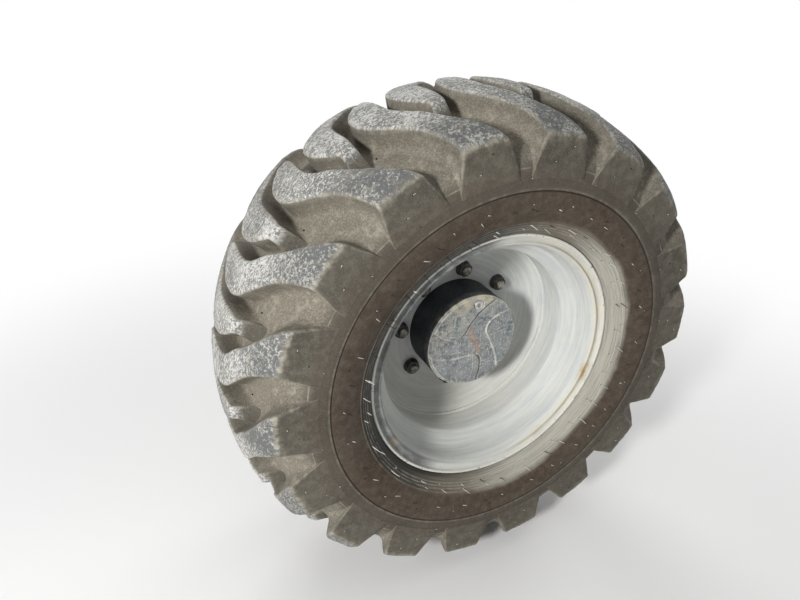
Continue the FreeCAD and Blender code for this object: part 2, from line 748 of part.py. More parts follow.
def make_spindle():
    """The stub axle that the hub turns on."""
    body = new_body("spindle")
    end = size["spindle_end_reach"]
    chamfer = size["spindle_chamfer"]
    collar_back = size["flange_boss"]
    collar_front = collar_back + size["spindle_collar"]
    corners = [
        (size["spindle_hole_radius"], 0.0),
        (size["spindle_root_radius"], 0.0),
        (size["spindle_root_radius"], collar_back),
        (size["spindle_collar_radius"], collar_back),
        (size["spindle_collar_radius"], collar_front),
        (size["spindle_neck_radius"], collar_front),
        (size["spindle_neck_radius"], size["hub_back_reach"] - chamfer * 2),
        (size["spindle_radius"], size["hub_back_reach"] - chamfer),
        (size["spindle_radius"], size["gear_space_reach"] + chamfer),
        (size["spindle_end_radius"], size["gear_space_reach"] + chamfer),
        (size["spindle_end_radius"], end - chamfer),
        (size["spindle_end_radius"] - chamfer, end),
        (0.0, end),
        (0.0, size["spindle_hole"] + size["spindle_hole_radius"] / 2),
        (size["spindle_hole_radius"], size["spindle_hole"]),
    ]
    turned(body, "spindle_section", corners)


def make_seal_ring():
    """The dust ring on the spindle's neck, behind the hub."""
    body = new_body("seal_ring")
    back = size["flange_boss"] + size["spindle_collar"]
    front = back + size["seal_wall"]
    inner = size["spindle_neck_radius"] + size["seat_gap"]
    outer = size["seal_radius"]
    corners = [
        (inner, back),
        (outer, back),
        (outer, back + size["seal_lip"]),
        (outer - size["seal_wall"], back + size["seal_lip"]),
        (outer - size["seal_wall"], front),
        (inner, front),
    ]
    turned(body, "seal_section", corners)


def make_axle_flange():
    """The flange that bolts the axle's end to the machine."""
    body = new_body("axle_flange")
    bore = size["spindle_root_radius"] + size["seat_gap"]
    chamfer = size["flange_chamfer"]
    corners = [
        (bore, 0.0),
        (size["flange_radius"], 0.0),
        (size["flange_radius"], size["flange_wall"] - chamfer),
        (size["flange_radius"] - chamfer, size["flange_wall"]),
        (size["flange_boss_radius"], size["flange_wall"]),
        (size["flange_boss_radius"] - chamfer * 2, size["flange_boss"]),
        (bore, size["flange_boss"]),
    ]
    turned(body, "flange_section", corners)
    drilled(body, "bolt_holes", size["flange_circle"], size["flange_holes"],
            Size("(180 / Sizes.flange_holes)", 180 / size["flange_holes"].value), size["flange_hole_radius"])


def turned_valve_piece(name, corners):
    """Turn an outline about the valve's own line, which leans inboard from the rim's inner slope."""
    body = new_body(name)
    turned(body, name + "_section", corners)
    slope_radius = (well_radius + size["rim_seat_radius"] - size["rim_seat_fall"]) / 2
    slope_offset = -(size["rim_well_inner"] + size["rim_slope_inner"]) / 2
    wall = size["rim_wall"]
    radius = slope_radius - wall * 0.75
    reach = at(slope_offset) - wall * 0.75
    angle = size["valve_angle"]
    body.Placement = FreeCAD.Placement(
        FreeCAD.Vector(radius.value * math.cos(math.radians(angle.value)), -reach.value,
                       radius.value * math.sin(math.radians(angle.value))),
        FreeCAD.Rotation(FreeCAD.Vector(0, 1, 0), 90 - angle.value).multiply(
            FreeCAD.Rotation(FreeCAD.Vector(1, 0, 0), 90 + size["valve_tilt"].value)))
    bind(body, "Placement.Base.x", radius * cosine(angle))
    bind(body, "Placement.Base.y", -reach)
    bind(body, "Placement.Base.z", radius * sine(angle))


def make_valve():
    """The air valve's stem and cap. Reach runs along the valve from the rim."""
    foot = size["valve_base"]
    stem = size["valve_stem_radius"]
    length = size["valve_length"]
    turned_valve_piece("valve_stem", [
        (0.0, 0.0),
        (size["valve_base_radius"], 0.0),
        (size["valve_base_radius"], foot / 3),
        (stem * 1.4, foot),
        (stem, foot),
        (stem, length),
        (0.0, length),
    ])
    cap = size["valve_cap_radius"]
    grip = size["valve_cap_grip"]
    start = length - grip
    end = start + size["valve_cap"]
    turned_valve_piece("valve_cap", [
        (stem + size["seat_gap"], start),
        (cap, start),
        (cap, end - cap / 3),
        (cap * 0.7, end),
        (0.0, end),
        (0.0, length + size["seat_gap"]),
        (stem + size["seat_gap"], length + size["seat_gap"]),
    ])


make_tyre()
make_rim_barrel()
make_wheel_disc()
make_hub_body()
make_end_cover()
make_cover_plug()
make_wheel_studs()
make_wheel_nuts()
make_valve()
make_spindle()
make_seal_ring()
make_axle_flange()
doc.recompute()

failed = [item.Label for item in doc.Objects if "Invalid" in item.State or "Error" in item.State]
if failed:
    raise RuntimeError(f"these objects failed: {failed}")
bodies = [item for item in doc.Objects if item.TypeId == "PartDesign::Body"]
for body in bodies:
    if body.Shape.isNull() or not body.Shape.isValid():
        raise RuntimeError(f"{body.Label} has no valid shape")
os.makedirs("parts", exist_ok=True)
for body in bodies:
    body.Shape.exportStep(f"parts/{body.Label}.step")
    box = body.Shape.BoundBox
    print(body.Label, len(body.Shape.Solids), "solids", round(body.Shape.Volume / 1000), "cm3",
          [round(value, 1) for value in (box.XMin, box.XMax, box.YMin, box.YMax, box.ZMin, box.ZMax)])
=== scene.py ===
import math
import random

import bpy
import numpy as np
from mathutils import Matrix, Vector


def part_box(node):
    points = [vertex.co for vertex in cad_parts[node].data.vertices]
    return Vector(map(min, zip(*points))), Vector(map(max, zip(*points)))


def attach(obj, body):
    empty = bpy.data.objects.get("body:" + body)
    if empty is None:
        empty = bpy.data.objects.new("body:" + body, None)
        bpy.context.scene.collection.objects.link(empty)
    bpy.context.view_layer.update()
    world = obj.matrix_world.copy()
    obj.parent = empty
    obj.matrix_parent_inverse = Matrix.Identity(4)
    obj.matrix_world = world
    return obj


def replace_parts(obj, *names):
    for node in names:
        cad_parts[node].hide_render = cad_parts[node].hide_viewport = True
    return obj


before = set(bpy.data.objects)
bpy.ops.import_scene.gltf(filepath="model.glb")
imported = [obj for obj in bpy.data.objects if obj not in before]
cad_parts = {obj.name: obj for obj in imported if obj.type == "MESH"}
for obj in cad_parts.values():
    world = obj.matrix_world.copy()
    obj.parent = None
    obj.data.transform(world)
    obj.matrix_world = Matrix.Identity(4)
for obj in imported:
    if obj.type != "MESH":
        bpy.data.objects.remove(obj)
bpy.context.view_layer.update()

# The looks of a dumper's wheel on the end of its axle, in metres, in the part's own frame.
# The wheel turns about Y and its outer face looks along -Y. An angle is counted from +X towards
# +Z, as seen from outside. "Reach" is the distance outboard of the axle's bolting face, and
# "offset" the distance outboard of the tyre's centre plane.
MM = 0.001
WHEEL = "wheel"

# Sizes of the tyre, as in the solids
tyre_low, tyre_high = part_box("tyre")
TYRE_RADIUS = (tyre_high.z - tyre_low.z) / 2
TYRE_REACH = -(tyre_low.y + tyre_high.y) / 2
LUG_HEIGHT = 46 * MM
FLOOR_ARC = 520 * MM
FLOOR_HALF = 133 * MM
WIDEST = (204 * MM, 378 * MM)
SIDE_ARC_UPPER = 95 * MM
SIDE_ARC_LOWER = 142 * MM
SIDEWALL_FOOT = (172 * MM, 288 * MM)
CROWN_ARC = 425 * MM
CROWN_END = (163 * MM, 505 * MM)
SHOULDER_ARC = 130 * MM
SHOULDER = (201 * MM, 476 * MM)
LUGS = 18


# Numbers and meshes

def smoothstep(low, high, value):
    """Zero below low, one above high, and a smooth step between."""
    t = np.clip((value - low) / (high - low), 0, 1)
    return t * t * (3 - 2 * t)


def bell(value, middle, width):
    """One at the middle, fading over the width."""
    return np.exp(-((value - middle) / width) ** 2)


def bells(radius, rows):
    """A sum of round ridges, from rows of radius, height and width in millimetres."""
    return sum(height * bell(radius / MM, middle, width) for middle, height, width in rows)


def ripple(seed, angle, offset, scale):
    """A smooth uneven value between about -1 and 1, the same on each run."""
    source = random.Random(seed)
    total = np.zeros_like(angle + offset)
    for order in range(1, 6):
        turn = source.uniform(0, 2 * math.pi)
        lean = source.uniform(-1, 1) * scale
        total += np.sin(angle * source.randint(2, 9) * order + offset * lean * order + turn) / order
    return total / 2.2


def full_turn(count):
    return np.linspace(0, 2 * math.pi, count, endpoint=False)


def spoke(angle):
    """The direction away from the axle at an angle."""
    return Vector((math.cos(angle), 0, math.sin(angle)))


def outline_mm(points):
    """An outline given in millimetres."""
    return [tuple(value * MM for value in point) for point in points]


def grid_faces(rows, columns, wrap_rows=False, wrap_columns=False):
    """Quads over a grid of vertices stored row by row."""
    grid = np.arange(rows * columns).reshape(rows, columns)
    grid = np.pad(grid, ((0, wrap_rows), (0, wrap_columns)), mode="wrap")
    corners = grid[:-1, :-1], grid[:-1, 1:], grid[1:, 1:], grid[1:, :-1]
    return np.stack(corners, -1).reshape(-1, 4).tolist()


def rounded(points, steps, closed=True):
    """Round the corners of an outline of (radius, reach, corner radius) points."""
    result = []
    count = len(points)
    for index, (radius, reach, size) in enumerate(points):
        here = np.array((radius, reach))
        if not closed and index in (0, count - 1):
            result.append(tuple(here))
            continue
        ways = [np.array(points[other % count][:2]) - here for other in (index - 1, index + 1)]
        cut = min(size, *[0.45 * np.linalg.norm(way) for way in ways])
        start, end = [here + way / np.linalg.norm(way) * cut for way in ways]
        for step in range(steps + 1):
            t = step / steps
            result.append(tuple((1 - t) ** 2 * start + 2 * t * (1 - t) * here + t * t * end))
    return result


def subdivided(points, longest):
    """Add points so that no stretch of a closed outline is longer than the given length."""
    result = []
    for here, following in zip(points, points[1:] + points[:1]):
        here = np.array(here)
        stretch = np.array(following) - here
        parts = max(1, math.ceil(np.linalg.norm(stretch) / longest))
        result += [tuple(here + stretch * part / parts) for part in range(parts)]
    return result


def turned(radius, reach, angle, centre=(0, 0)):
    """Vertices from radius, reach and angle about a line along Y."""
    x = centre[0] + radius * np.cos(angle)
    z = centre[1] + radius * np.sin(angle)
    return np.stack([x, -reach, z], -1).reshape(-1, 3)


def turned_part(outline, segments, centre=(0, 0), closed=True, shape=None):
    """An outline turned about a line along Y and reshaped, as vertices and faces."""
    points = np.array(outline)
    radii = points[:, :1] * np.ones(segments)
    reaches = points[:, 1:] * np.ones(segments)
    angles = full_turn(segments)
    if shape is not None:
        radii, reaches = shape(radii, reaches, angles)
    return turned(radii, reaches, angles, centre), grid_faces(len(outline), segments, closed, True)


def add_to_scene(name, data):
    thing = bpy.data.objects.new(name, data)
    bpy.context.scene.collection.objects.link(thing)
    return thing


def make_object(name, vertices, faces, slot, sharp):
    """A smooth piece of the wheel with the look of its slot."""
    mesh = bpy.data.meshes.new(name)
    mesh.from_pydata([tuple(vertex) for vertex in vertices], [], faces)
    mesh.validate()
    mesh.update()
    mesh.polygons.foreach_set("use_smooth", [True] * len(mesh.polygons))
    mesh.set_sharp_from_angle(angle=math.radians(sharp))
    mesh.materials.append(LOOKS[slot])
    thing = add_to_scene(name, mesh)
    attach(thing, WHEEL)
    return thing


def revolve(name, outline, segments, slot, closed=True, sharp=40, shape=None):
    """A piece turned about the axle's line from (radius, reach) points."""
    return make_object(name, *turned_part(outline, segments, (0, 0), closed, shape), slot, sharp)


def joined(name, parts, slot, sharp):
    """Several (vertices, faces) parts as one piece."""
    vertices = []
    faces = []
    for part_vertices, part_faces in parts:
        first = len(vertices)
        vertices.extend(part_vertices)
        faces.extend(tuple(first + corner for corner in face) for face in part_faces)
    return make_object(name, vertices, faces, slot, sharp)


def vertices_of(thing):
    return np.array([vertex.co for vertex in thing.data.vertices])


def store(thing, name, values):
    """One number for each vertex, for the material."""
    layer = thing.data.attributes.new(name, "FLOAT", "POINT")
    layer.data.foreach_set("value", np.ravel(values))


# Materials

class Value:
    """A node's output, to be added, subtracted and multiplied as usual."""

    def __init__(self, nodes, socket):
        self.nodes = nodes
        self.socket = socket

    def join(self, operation, other=0):
        kind = "VectorMath" if self.socket.type == "VECTOR" else "Math"
        return self.nodes.add(kind, (self, other), operation=operation)

    def __add__(self, other):
        return self.join("ADD", other)

    def __sub__(self, other):
        return self.join("SUBTRACT", other)

    def __mul__(self, other):
        return self.join("MULTIPLY", other)

    def span(self, low, high, start=0.0, end=1.0):
        """Start below low, end above high, and a smooth step between."""
        return self.nodes.add("MapRange", (self, low, high, start, end), interpolation_type="SMOOTHSTEP")

    def band(self, low, high, soft):
        """One inside a band, zero outside it."""
        return self.span(low - soft, low + soft) * self.span(high - soft, high + soft, 1.0, 0.0)

    def mix(self, first, second):
        """The first colour at zero, the second at one."""
        return self.nodes.add("Mix", {0: self, 6: first, 7: second}, 2, data_type="RGBA")


class Nodes:
    """A node tree, built node by node."""

    def __init__(self, tree):
        self.tree = tree

    def feed(self, socket, value):
        """Link or set an input; None leaves it."""
        if isinstance(value, Value):
            self.tree.links.new(value.socket, socket)
        elif value is not None:
            socket.default_value = (*value, 1.0) if socket.type == "RGBA" else value

    def add(self, kind, inputs=(), output=0, **settings):
        """One output of a new node, with its inputs in order or by key."""
        node = self.tree.nodes.new("ShaderNode" + kind)
        for key, value in settings.items():
            setattr(node, key, value)
        for key, value in inputs.items() if isinstance(inputs, dict) else enumerate(inputs):
            self.feed(node.inputs[key], value)
        return Value(self, node.outputs[output])

    def length(self, vector):
        return self.add("VectorMath", (vector,), "Value", operation="LENGTH")

    def split(self, vector):
        node = self.add("SeparateXYZ", (vector,)).socket.node
        return [Value(self, socket) for socket in node.outputs]


class Paint(Nodes):
    """A material built up coat by coat and bump by bump."""

    def __init__(self, name):
        self.material = bpy.data.materials.new(name)
        self.material.use_nodes = True
        super().__init__(self.material.node_tree)
        self.surface = self.tree.nodes["Principled BSDF"]
        self.place = self.add("TexCoord", output="Object")
        self.x, self.y, self.z = self.split(self.place)
        flat = self.place * (1, 0, 1)
        self.radius = self.length(flat)
        self.turn = self.z.join("ARCTAN2", self.x)
        self.circle = self.add("VectorMath", (flat,), operation="NORMALIZE")
        self.colour = None
        self.normal = None

    def attribute(self, name, output="Fac"):
        return self.add("Attribute", output=output, attribute_name=name)

    def noise(self, scale, detail=4.0, roughness=0.55, distortion=0.0, place=None):
        return self.add("TexNoise", {"Vector": place or self.place, "Scale": scale, "Detail": detail,
                                     "Roughness": roughness, "Distortion": distortion})

    def streaks(self, fine, coarse):
        """Noise drawn out round the wheel: fine across the rings, coarse along them."""
        across = self.add("CombineXYZ", {1: (self.radius - self.y) * fine})
        return self.noise(1, 3, 0.6, 0, self.circle * (coarse, 0, coarse) + across)

    def coat(self, amount, colour):
        self.colour = amount.mix(self.colour, colour)

    def bump(self, height, strength, distance):
        self.normal = self.add("Bump", {"Strength": strength, "Distance": distance, "Height": height,
                                        "Normal": self.normal})

    def done(self, roughness, metallic=0.0, specular=0.5):
        inputs = {"Base Color": self.colour, "Roughness": roughness, "Metallic": metallic,
                  "Specular IOR Level": specular, "Normal": self.normal}
        for key, value in inputs.items():
            self.feed(self.surface.inputs[key], value)
        return self.material


def tyre_material():
    """Dusty black rubber: pale chips on the lugs, partly as painted glint, brown on the sidewall,
    streaked at the bead, with painted shade and sheen on the bead, and pale hairs as painted glint.
    """
    paint = Paint("tyre_rubber")
    cloud = paint.noise(9, 6)
    mottle = paint.noise(60, 5, 0.65)
    speck = paint.noise(330, 3, 0.75)
    paint.colour = cloud.span(0.3, 0.7).mix((0.074, 0.067, 0.053), (0.112, 0.101, 0.08))
    paint.coat(mottle.span(0.45, 0.75, 0, 0.5), (0.165, 0.149, 0.12))
    paint.coat(speck.span(0.5, 0.72, 0, 0.6), (0.215, 0.196, 0.158))
    paint.coat(speck.span(0.42, 0.3, 0, 0.45), (0.03, 0.027, 0.022))

    grains = speck.span(0.38, 0.66).mix((0.165, 0.148, 0.117), (0.29, 0.262, 0.21))
    grains = mottle.span(0.5, 0.7, 0, 0.6).mix(grains, (0.4, 0.365, 0.295))
    paint.coat(paint.attribute("hollow") * cloud.span(0.25, 0.6, 0.65, 0.95), grains)

    brown = mottle.span(0.35, 0.7).mix((0.06, 0.041, 0.029), (0.102, 0.075, 0.053))
    brown = speck.span(0.5, 0.75, 0, 0.4).mix(brown, (0.165, 0.138, 0.108))
    sidewall = paint.radius.band(0.3115, 0.3765, 0.003)
    paint.coat(sidewall * cloud.span(0.2, 0.7, 0.95, 0.62), brown)
    lugs_foot = paint.radius.band(0.3765, 0.422, 0.012)
    paint.coat(lugs_foot * 0.4, (0.085, 0.064, 0.05))

    fine_rings = paint.streaks(1500, 5)
    rings = paint.streaks(330, 3.5)
    bead = paint.radius.band(0.2805, 0.3105, 0.0012)
    black = fine_rings.span(0.4, 0.65).mix((0.022, 0.022, 0.021), (0.052, 0.05, 0.045))
    # The bead's black rubber, laid on more heavily towards the left as painted shade
    left = (paint.z * 0.17 - paint.x) * bead + rings * 0.12
    paint.coat(bead * left.span(0.05, 0.17, 0.35, 0.92), black)
    # Pale on the bead towards the right: dust, with painted sheen along its fine rings
    right = paint.x * 0.95 - paint.z * 0.35 + rings * 0.12
    near_bead = (paint.radius + (cloud - 0.5) * 0.035).span(0.305, 0.323, 1, 0)
    outboard = near_bead * paint.y.span(-0.2, -0.3)
    dust_and_sheen = outboard * fine_rings.span(0.3, 0.6, 0.5, 1) * right.span(-0.1, 0.06, 0, 0.85)
    paint.coat(dust_and_sheen, (0.205, 0.18, 0.14))
    rubbed_and_sheen = outboard * right.span(0.06, 0.24) * rings.span(0.34, 0.56, 0.62, 1)
    paint.coat(rubbed_and_sheen * fine_rings.span(0.35, 0.6, 0.62, 1), (0.5, 0.48, 0.415))

    worn = paint.attribute("worn")
    tread_place = paint.attribute("tread_place", "Vector")
    offset = paint.split(tread_place)[1].join("ABSOLUTE")
    broad = paint.noise(1, 2, 0.6, 0.3, tread_place * (150, 240, 1))
    small = paint.noise(1, 2, 0.6, 0.2, tread_place * (330, 420, 1))
    chips = broad * 0.55 + small * 0.45
    patches = (paint.noise(13, 3) - 0.5) * 0.3
    above = chips - (offset.span(0.095, 0.165, 0.475, 0.515) + patches)
    ground = offset.span(0.1, 0.165).mix((0.19, 0.19, 0.18), (0.118, 0.122, 0.122))
    ground = speck.span(0.45, 0.3, 0, 0.6).mix(ground, (0.07, 0.07, 0.066))
    # Pale chips on the lug tops: chipped wear, with a painted glint of light
    chipped_and_glint = speck.span(0.35, 0.65).mix((0.46, 0.455, 0.43), (0.7, 0.695, 0.66))
    dull = offset.span(0.09, 0.155) * mottle.span(0.3, 0.62, 0.95, 0.35)
    tread = above.span(-0.02, 0.09).mix(ground, dull.mix(chipped_and_glint, (0.225, 0.222, 0.205)))
    paint.coat(worn, mottle.span(0.54, 0.68, 0, 0.55).mix(tread, (0.3, 0.275, 0.225)))

    paint.coat(paint.attribute("edge") * mottle.span(0.38, 0.62, 0.25, 1), (0.375, 0.345, 0.275))
    # Pale hairs: a painted glint of light on the rubber
    paint.coat(paint.attribute("pale"), (0.6, 0.58, 0.52))
    paint.coat(paint.attribute("line"), (0.016, 0.014, 0.012))
    paint.bump(speck, 0.35, 0.0008)
    paint.bump(mottle, 0.25, 0.0016)
    paint.bump(fine_rings * near_bead, 0.4, 0.0008)
    paint.bump(chips * worn, 0.7, 0.002)
    return paint.done(bead * -0.4 + 0.8, specular=0.18)


def rim_material():
    """Silver-grey paint with dust, streaks round the wheel, scratches, a few rust stains, and a painted
    shadow of the lip in its gutter on the left.
    """
    paint = Paint("rim_paint")
    mottle = paint.noise(38, 6, 0.62)
    rings = paint.streaks(110, 2)
    fine_rings = paint.streaks(700, 7)
    paint.colour = rings.span(0.35, 0.65).mix((0.54, 0.56, 0.56), (0.65, 0.655, 0.615))
    paint.coat(mottle.span(0.5, 0.75, 0, 0.35), (0.72, 0.69, 0.59))
    low = paint.z.span(-0.25, 0.05, 0.75, 0.1) * paint.y.span(-0.2, -0.33, 1, 0.2)
    paint.coat(low * fine_rings.span(0.38, 0.65), (0.7, 0.65, 0.53))

    gutter = paint.y.span(-0.352, -0.362) * paint.radius.band(0.256, 0.2745, 0.003)
    right_side = paint.x.span(-0.05, 0.22, 0.12, 0.85)
    paint.coat(gutter * right_side * mottle.span(0.3, 0.7, 0.4, 0.9), (0.7, 0.635, 0.47))
    # Painted shadow of the lip in the gutter, on the left side
    lip_shadow_left = (paint.z * 0.26 - paint.x * 0.97).span(0.055, 0.115, 0, 0.92)
    paint.coat(gutter * lip_shadow_left * mottle.span(0.3, 0.6, 0.6, 0.95), (0.105, 0.11, 0.108))
    lip = paint.radius.span(0.2745, 0.2765)
    paint.coat(lip * 0.7, (0.78, 0.765, 0.67))
    paint.coat(lip * paint.noise(130, 4, 0.7).span(0.6, 0.66, 0, 0.8), (0.085, 0.065, 0.048))
    for middle, half_width, strength in ((-0.375, 0.075, 0.8), (-1.05, 0.05, 0.3), (-2.62, 0.03, 0.4)):
        stain = paint.turn.band(middle - half_width, middle + half_width, half_width * 0.7) * gutter
        paint.coat(stain * mottle.span(0.3, 0.6, 0.3 * strength, strength), (0.42, 0.27, 0.1))
    rust_places = paint.noise(11, 5, 0.6, 0.8).span(0.67, 0.75, 0, 0.5)
    paint.coat(rust_places * paint.radius.span(0.215, 0.27), (0.38, 0.24, 0.11))
    paint.coat(fine_rings.span(0.66, 0.74) * 0.35, (0.7, 0.7, 0.67))
    paint.bump(mottle, 0.12, 0.0012)
    paint.bump(paint.noise(700, 2, 0.6), 0.12, 0.0004)
    paint.bump(fine_rings, 0.12, 0.0004)
    return paint.done(mottle.span(0.3, 0.7, 0.42, 0.6), specular=0.25)


def hub_material():
    """Dark blue-grey paint, made darker still as painted shade, dusty on the face, worn pale on raised
    edges, stained with rust, and with painted shadows beside the lobes.
    """
    paint = Paint("hub_paint")
    mottle = paint.noise(60, 7, 0.68)
    blotch = paint.noise(170, 5, 0.7)
    broad = paint.noise(26, 5, 0.6, 0.6)
    face = paint.y.span(-0.2815, -0.2835)
    # The dark paint of hub and drum, made darker still as painted shade
    paint.colour = mottle.span(0.35, 0.7).mix((0.004, 0.007, 0.009), (0.016, 0.022, 0.028))
    bare = mottle.span(0.38, 0.62).mix((0.12, 0.142, 0.155), (0.245, 0.264, 0.268))
    paint.coat(face, broad.span(0.42, 0.62, 0, 0.5).mix(bare, (0.3, 0.31, 0.3)))
    paint.coat(face * blotch.span(0.5, 0.66, 0, 0.65), (0.5, 0.495, 0.45))
    for scale, seed in (((60, 9, 320), 0.3), ((300, 9, 45), 5.1), ((210, 9, 190), 9.7)):
        scratches = paint.noise(1, 2, 0.5, 0.5, paint.place * scale + (seed, seed, seed))
        paint.coat(face * scratches.span(0.63, 0.68, 0, 0.6), (0.6, 0.595, 0.55))
    paint.coat(face * paint.noise(240, 3, 0.7).span(0.4, 0.33, 0, 0.6), (0.045, 0.055, 0.063))
    upper = (paint.z - paint.x * 0.7).span(0, 0.12, 0, 0.55)
    paint.coat(face * (upper * mottle.span(0.42, 0.62)), (0.5, 0.45, 0.34))
    top = paint.z.span(0.075, 0.104)
    paint.coat(face * top * mottle.span(0.35, 0.6, 0.3, 0.9), (0.52, 0.45, 0.31))
    paint.coat(paint.attribute("edge") * mottle.span(0.36, 0.6, 0.3, 0.95), (0.66, 0.64, 0.55))
    # Painted shadow beside the lobes' edges
    paint.coat(paint.attribute("lobe_shadow") * 0.9, (0.01, 0.012, 0.014))
    paint.coat(paint.attribute("rust") * blotch.span(0.36, 0.56, 0.1, 0.85), (0.46, 0.295, 0.195))
    paint.bump(mottle, 0.3, 0.0015)
    paint.bump(paint.noise(260, 3, 0.6), 0.35, 0.0008)
    return paint.done(blotch.span(0.3, 0.7, 0.42, 0.7))


def fastener_material():
    """Dirty plated steel, near black as dirt and painted shade, and pale on the studs' ends as dust and
    a painted highlight.
    """
    paint = Paint("fastener_steel")
    mottle = paint.noise(120, 5, 0.62)
    # Near black: dirt, made darker as painted shade
    paint.colour = mottle.span(0.38, 0.66).mix((0.03, 0.03, 0.029), (0.105, 0.1, 0.09))
    # Pale stud ends: dust, and a painted highlight
    dust = paint.attribute("tip") * mottle.span(0.4, 0.65, 0.15, 0.85)
    paint.coat(dust, (0.5, 0.47, 0.38))
    paint.bump(mottle, 0.25, 0.0007)
    paint.bump(paint.noise(900, 3, 0.6), 0.2, 0.0003)
    return paint.done(mottle.span(0.3, 0.7, 0.42, 0.68), dust * -0.6 + 0.6)


def steel_material(name, dark, light, dirt, dirt_amount, roughness, scale):
    """Bare or plated steel with dirt in patches."""
    paint = Paint(name)
    mottle = paint.noise(scale, 6, 0.62)
    patches = paint.noise(scale * 0.6, 5, 0.65, 0.4).span(0.5, 0.68, 0, dirt_amount)
    paint.colour = mottle.span(0.35, 0.7).mix(dark, light)
    paint.coat(patches, dirt)
    paint.bump(mottle, 0.2, 0.0006)
    paint.bump(paint.noise(scale * 9, 3, 0.6), 0.2, 0.0003)
    return paint.done(mottle.span(0.3, 0.7, roughness, roughness + 0.2), patches * -1 + 0.85)


def rubber_material():
    """Plain black rubber with dust."""
    paint = Paint("valve_rubber")
    mottle = paint.noise(160, 5, 0.6)
    paint.colour = mottle.span(0.4, 0.75, 0, 0.6).mix((0.022, 0.021, 0.02), (0.3, 0.26, 0.195))
    paint.bump(paint.noise(900, 2, 0.5), 0.2, 0.0002)
    return paint.done(mottle.span(0.3, 0.7, 0.45, 0.7), specular=0.4)


def iron_material():
    """Dark painted cast iron."""
    paint = Paint("axle_iron")
    mottle = paint.noise(45, 6, 0.6)
    paint.colour = mottle.span(0.35, 0.7).mix((0.028, 0.034, 0.045), (0.055, 0.064, 0.078))
    paint.coat(paint.noise(20, 5, 0.7).span(0.5, 0.72, 0, 0.6), (0.2, 0.175, 0.13))
    paint.bump(paint.noise(330, 4, 0.65), 0.45, 0.0007)
    return paint.done(mottle.span(0.3, 0.7, 0.5, 0.72), specular=0.45)


LOOKS = {
    "tyre_rubber": tyre_material(),
    "rim_paint": rim_material(),
    "hub_paint": hub_material(),
    "fastener_steel": fastener_material(),
    "plug_steel": steel_material("plug_steel", (0.42, 0.41, 0.4), (0.66, 0.65, 0.63),
                                 (0.24, 0.2, 0.15), 0.5, 0.3, 90),
    "axle_steel": steel_material("axle_steel", (0.33, 0.33, 0.33), (0.52, 0.52, 0.51),
                                 (0.12, 0.1, 0.08), 0.55, 0.28, 50),
    "valve_rubber": rubber_material(),
    "axle_iron": iron_material(),
}


# The tyre's section

def arc_through(start, end, radius, count):
    """Points on the arc that bulges outwards between two (offset, radius) points."""
    start = np.array(start)
    end = np.array(end)
    along = end - start
    length = np.linalg.norm(along)
    inwards = np.array([along[1], -along[0]]) / length
    centre = (start + end) / 2 + inwards * math.sqrt(radius ** 2 - length ** 2 / 4)
    turn = np.linspace(math.atan2(*(start - centre)), math.atan2(*(end - centre)), count)
    return [(centre[0] + radius * math.sin(a), centre[1] + radius * math.cos(a)) for a in turn]


def half_section():
    """The carcass from the centre plane to the bead, as dense (offset, radius) points."""
    floor_centre = TYRE_RADIUS - LUG_HEIGHT - FLOOR_ARC
    knee = (FLOOR_HALF, floor_centre + math.sqrt(FLOOR_ARC ** 2 - FLOOR_HALF ** 2))
    turn = np.linspace(0, math.asin(FLOOR_HALF / FLOOR_ARC), 140)
    points = [(FLOOR_ARC * math.sin(a), floor_centre + FLOOR_ARC * math.cos(a)) for a in turn]
    points += arc_through(knee, WIDEST, SIDE_ARC_UPPER, 160)[1:]
    points += arc_through(WIDEST, SIDEWALL_FOOT, SIDE_ARC_LOWER, 140)[1:]
    return np.array(points)


section = half_section()
steps = np.linalg.norm(np.diff(section, axis=0), axis=1)
lengths = np.concatenate([[0], np.cumsum(steps)])
tangent = np.gradient(section, lengths, axis=0)
tangent /= np.linalg.norm(tangent, axis=1)[:, None]
section_normal = np.stack([-tangent[:, 1], tangent[:, 0]], -1)
section_normal *= np.sign(section_normal[:, 1:2] + 1e-9)
section_normal[:, 0] = np.abs(section_normal[:, 0])


def crown_radius(offset):
    """Radius of the lugs' tops at an offset."""
    offset = np.abs(offset)
    centre = TYRE_RADIUS - CROWN_ARC
    main = centre + np.sqrt(CROWN_ARC ** 2 - np.minimum(offset, CROWN_END[0]) ** 2)
    edge = np.array(arc_through(CROWN_END, SHOULDER, SHOULDER_ARC, 40))
    beyond = SHOULDER[1] - (offset - SHOULDER[0]) * 1.2
    outer = np.where(offset > SHOULDER[0], beyond, np.interp(offset, edge[:, 0], edge[:, 1]))
    return np.where(offset <= CROWN_END[0], main, outer)


def shoulder_plane(radius):
    """Offset of the lugs' shoulder faces at a radius."""
    share = (SHOULDER[1] - radius) / (SHOULDER[1] - WIDEST[1])
    return SHOULDER[0] + share * (WIDEST[0] - SHOULDER[0])


def envelope_height():
    """How far the lugs stand above each point of the section, along its normal."""
    heights = np.zeros(len(section))
    trial = np.linspace(0, 80 * MM, 1600)
    for index, (point, normal) in enumerate(zip(section, section_normal)):
        path = point + trial[:, None] * normal
        outside = (path[:, 1] > crown_radius(path[:, 0])) | (path[:, 0] > shoulder_plane(path[:, 1]))
        heights[index] = trial[np.argmax(outside)] if outside.any() else 0
    return heights


lug_top = envelope_height()
top_points = section + section_normal * lug_top[:, None]
edge_index = int(np.argmax(top_points[:, 0] >= SHOULDER[0] - 0.3 * MM))
EDGE = lengths[edge_index]


def along_for_offset(offset):
    """The place along the section under the crown's point at an offset."""
    sign = 1 if offset >= 0 else -1
    return sign * np.interp(abs(offset), top_points[:edge_index, 0], lengths[:edge_index])


def along_for_radius(radius):
    """The place along the section under the shoulder face's point at a radius."""
    radii = top_points[edge_index:, 1][::-1]
    return np.interp(radius, radii, lengths[edge_index:][::-1])


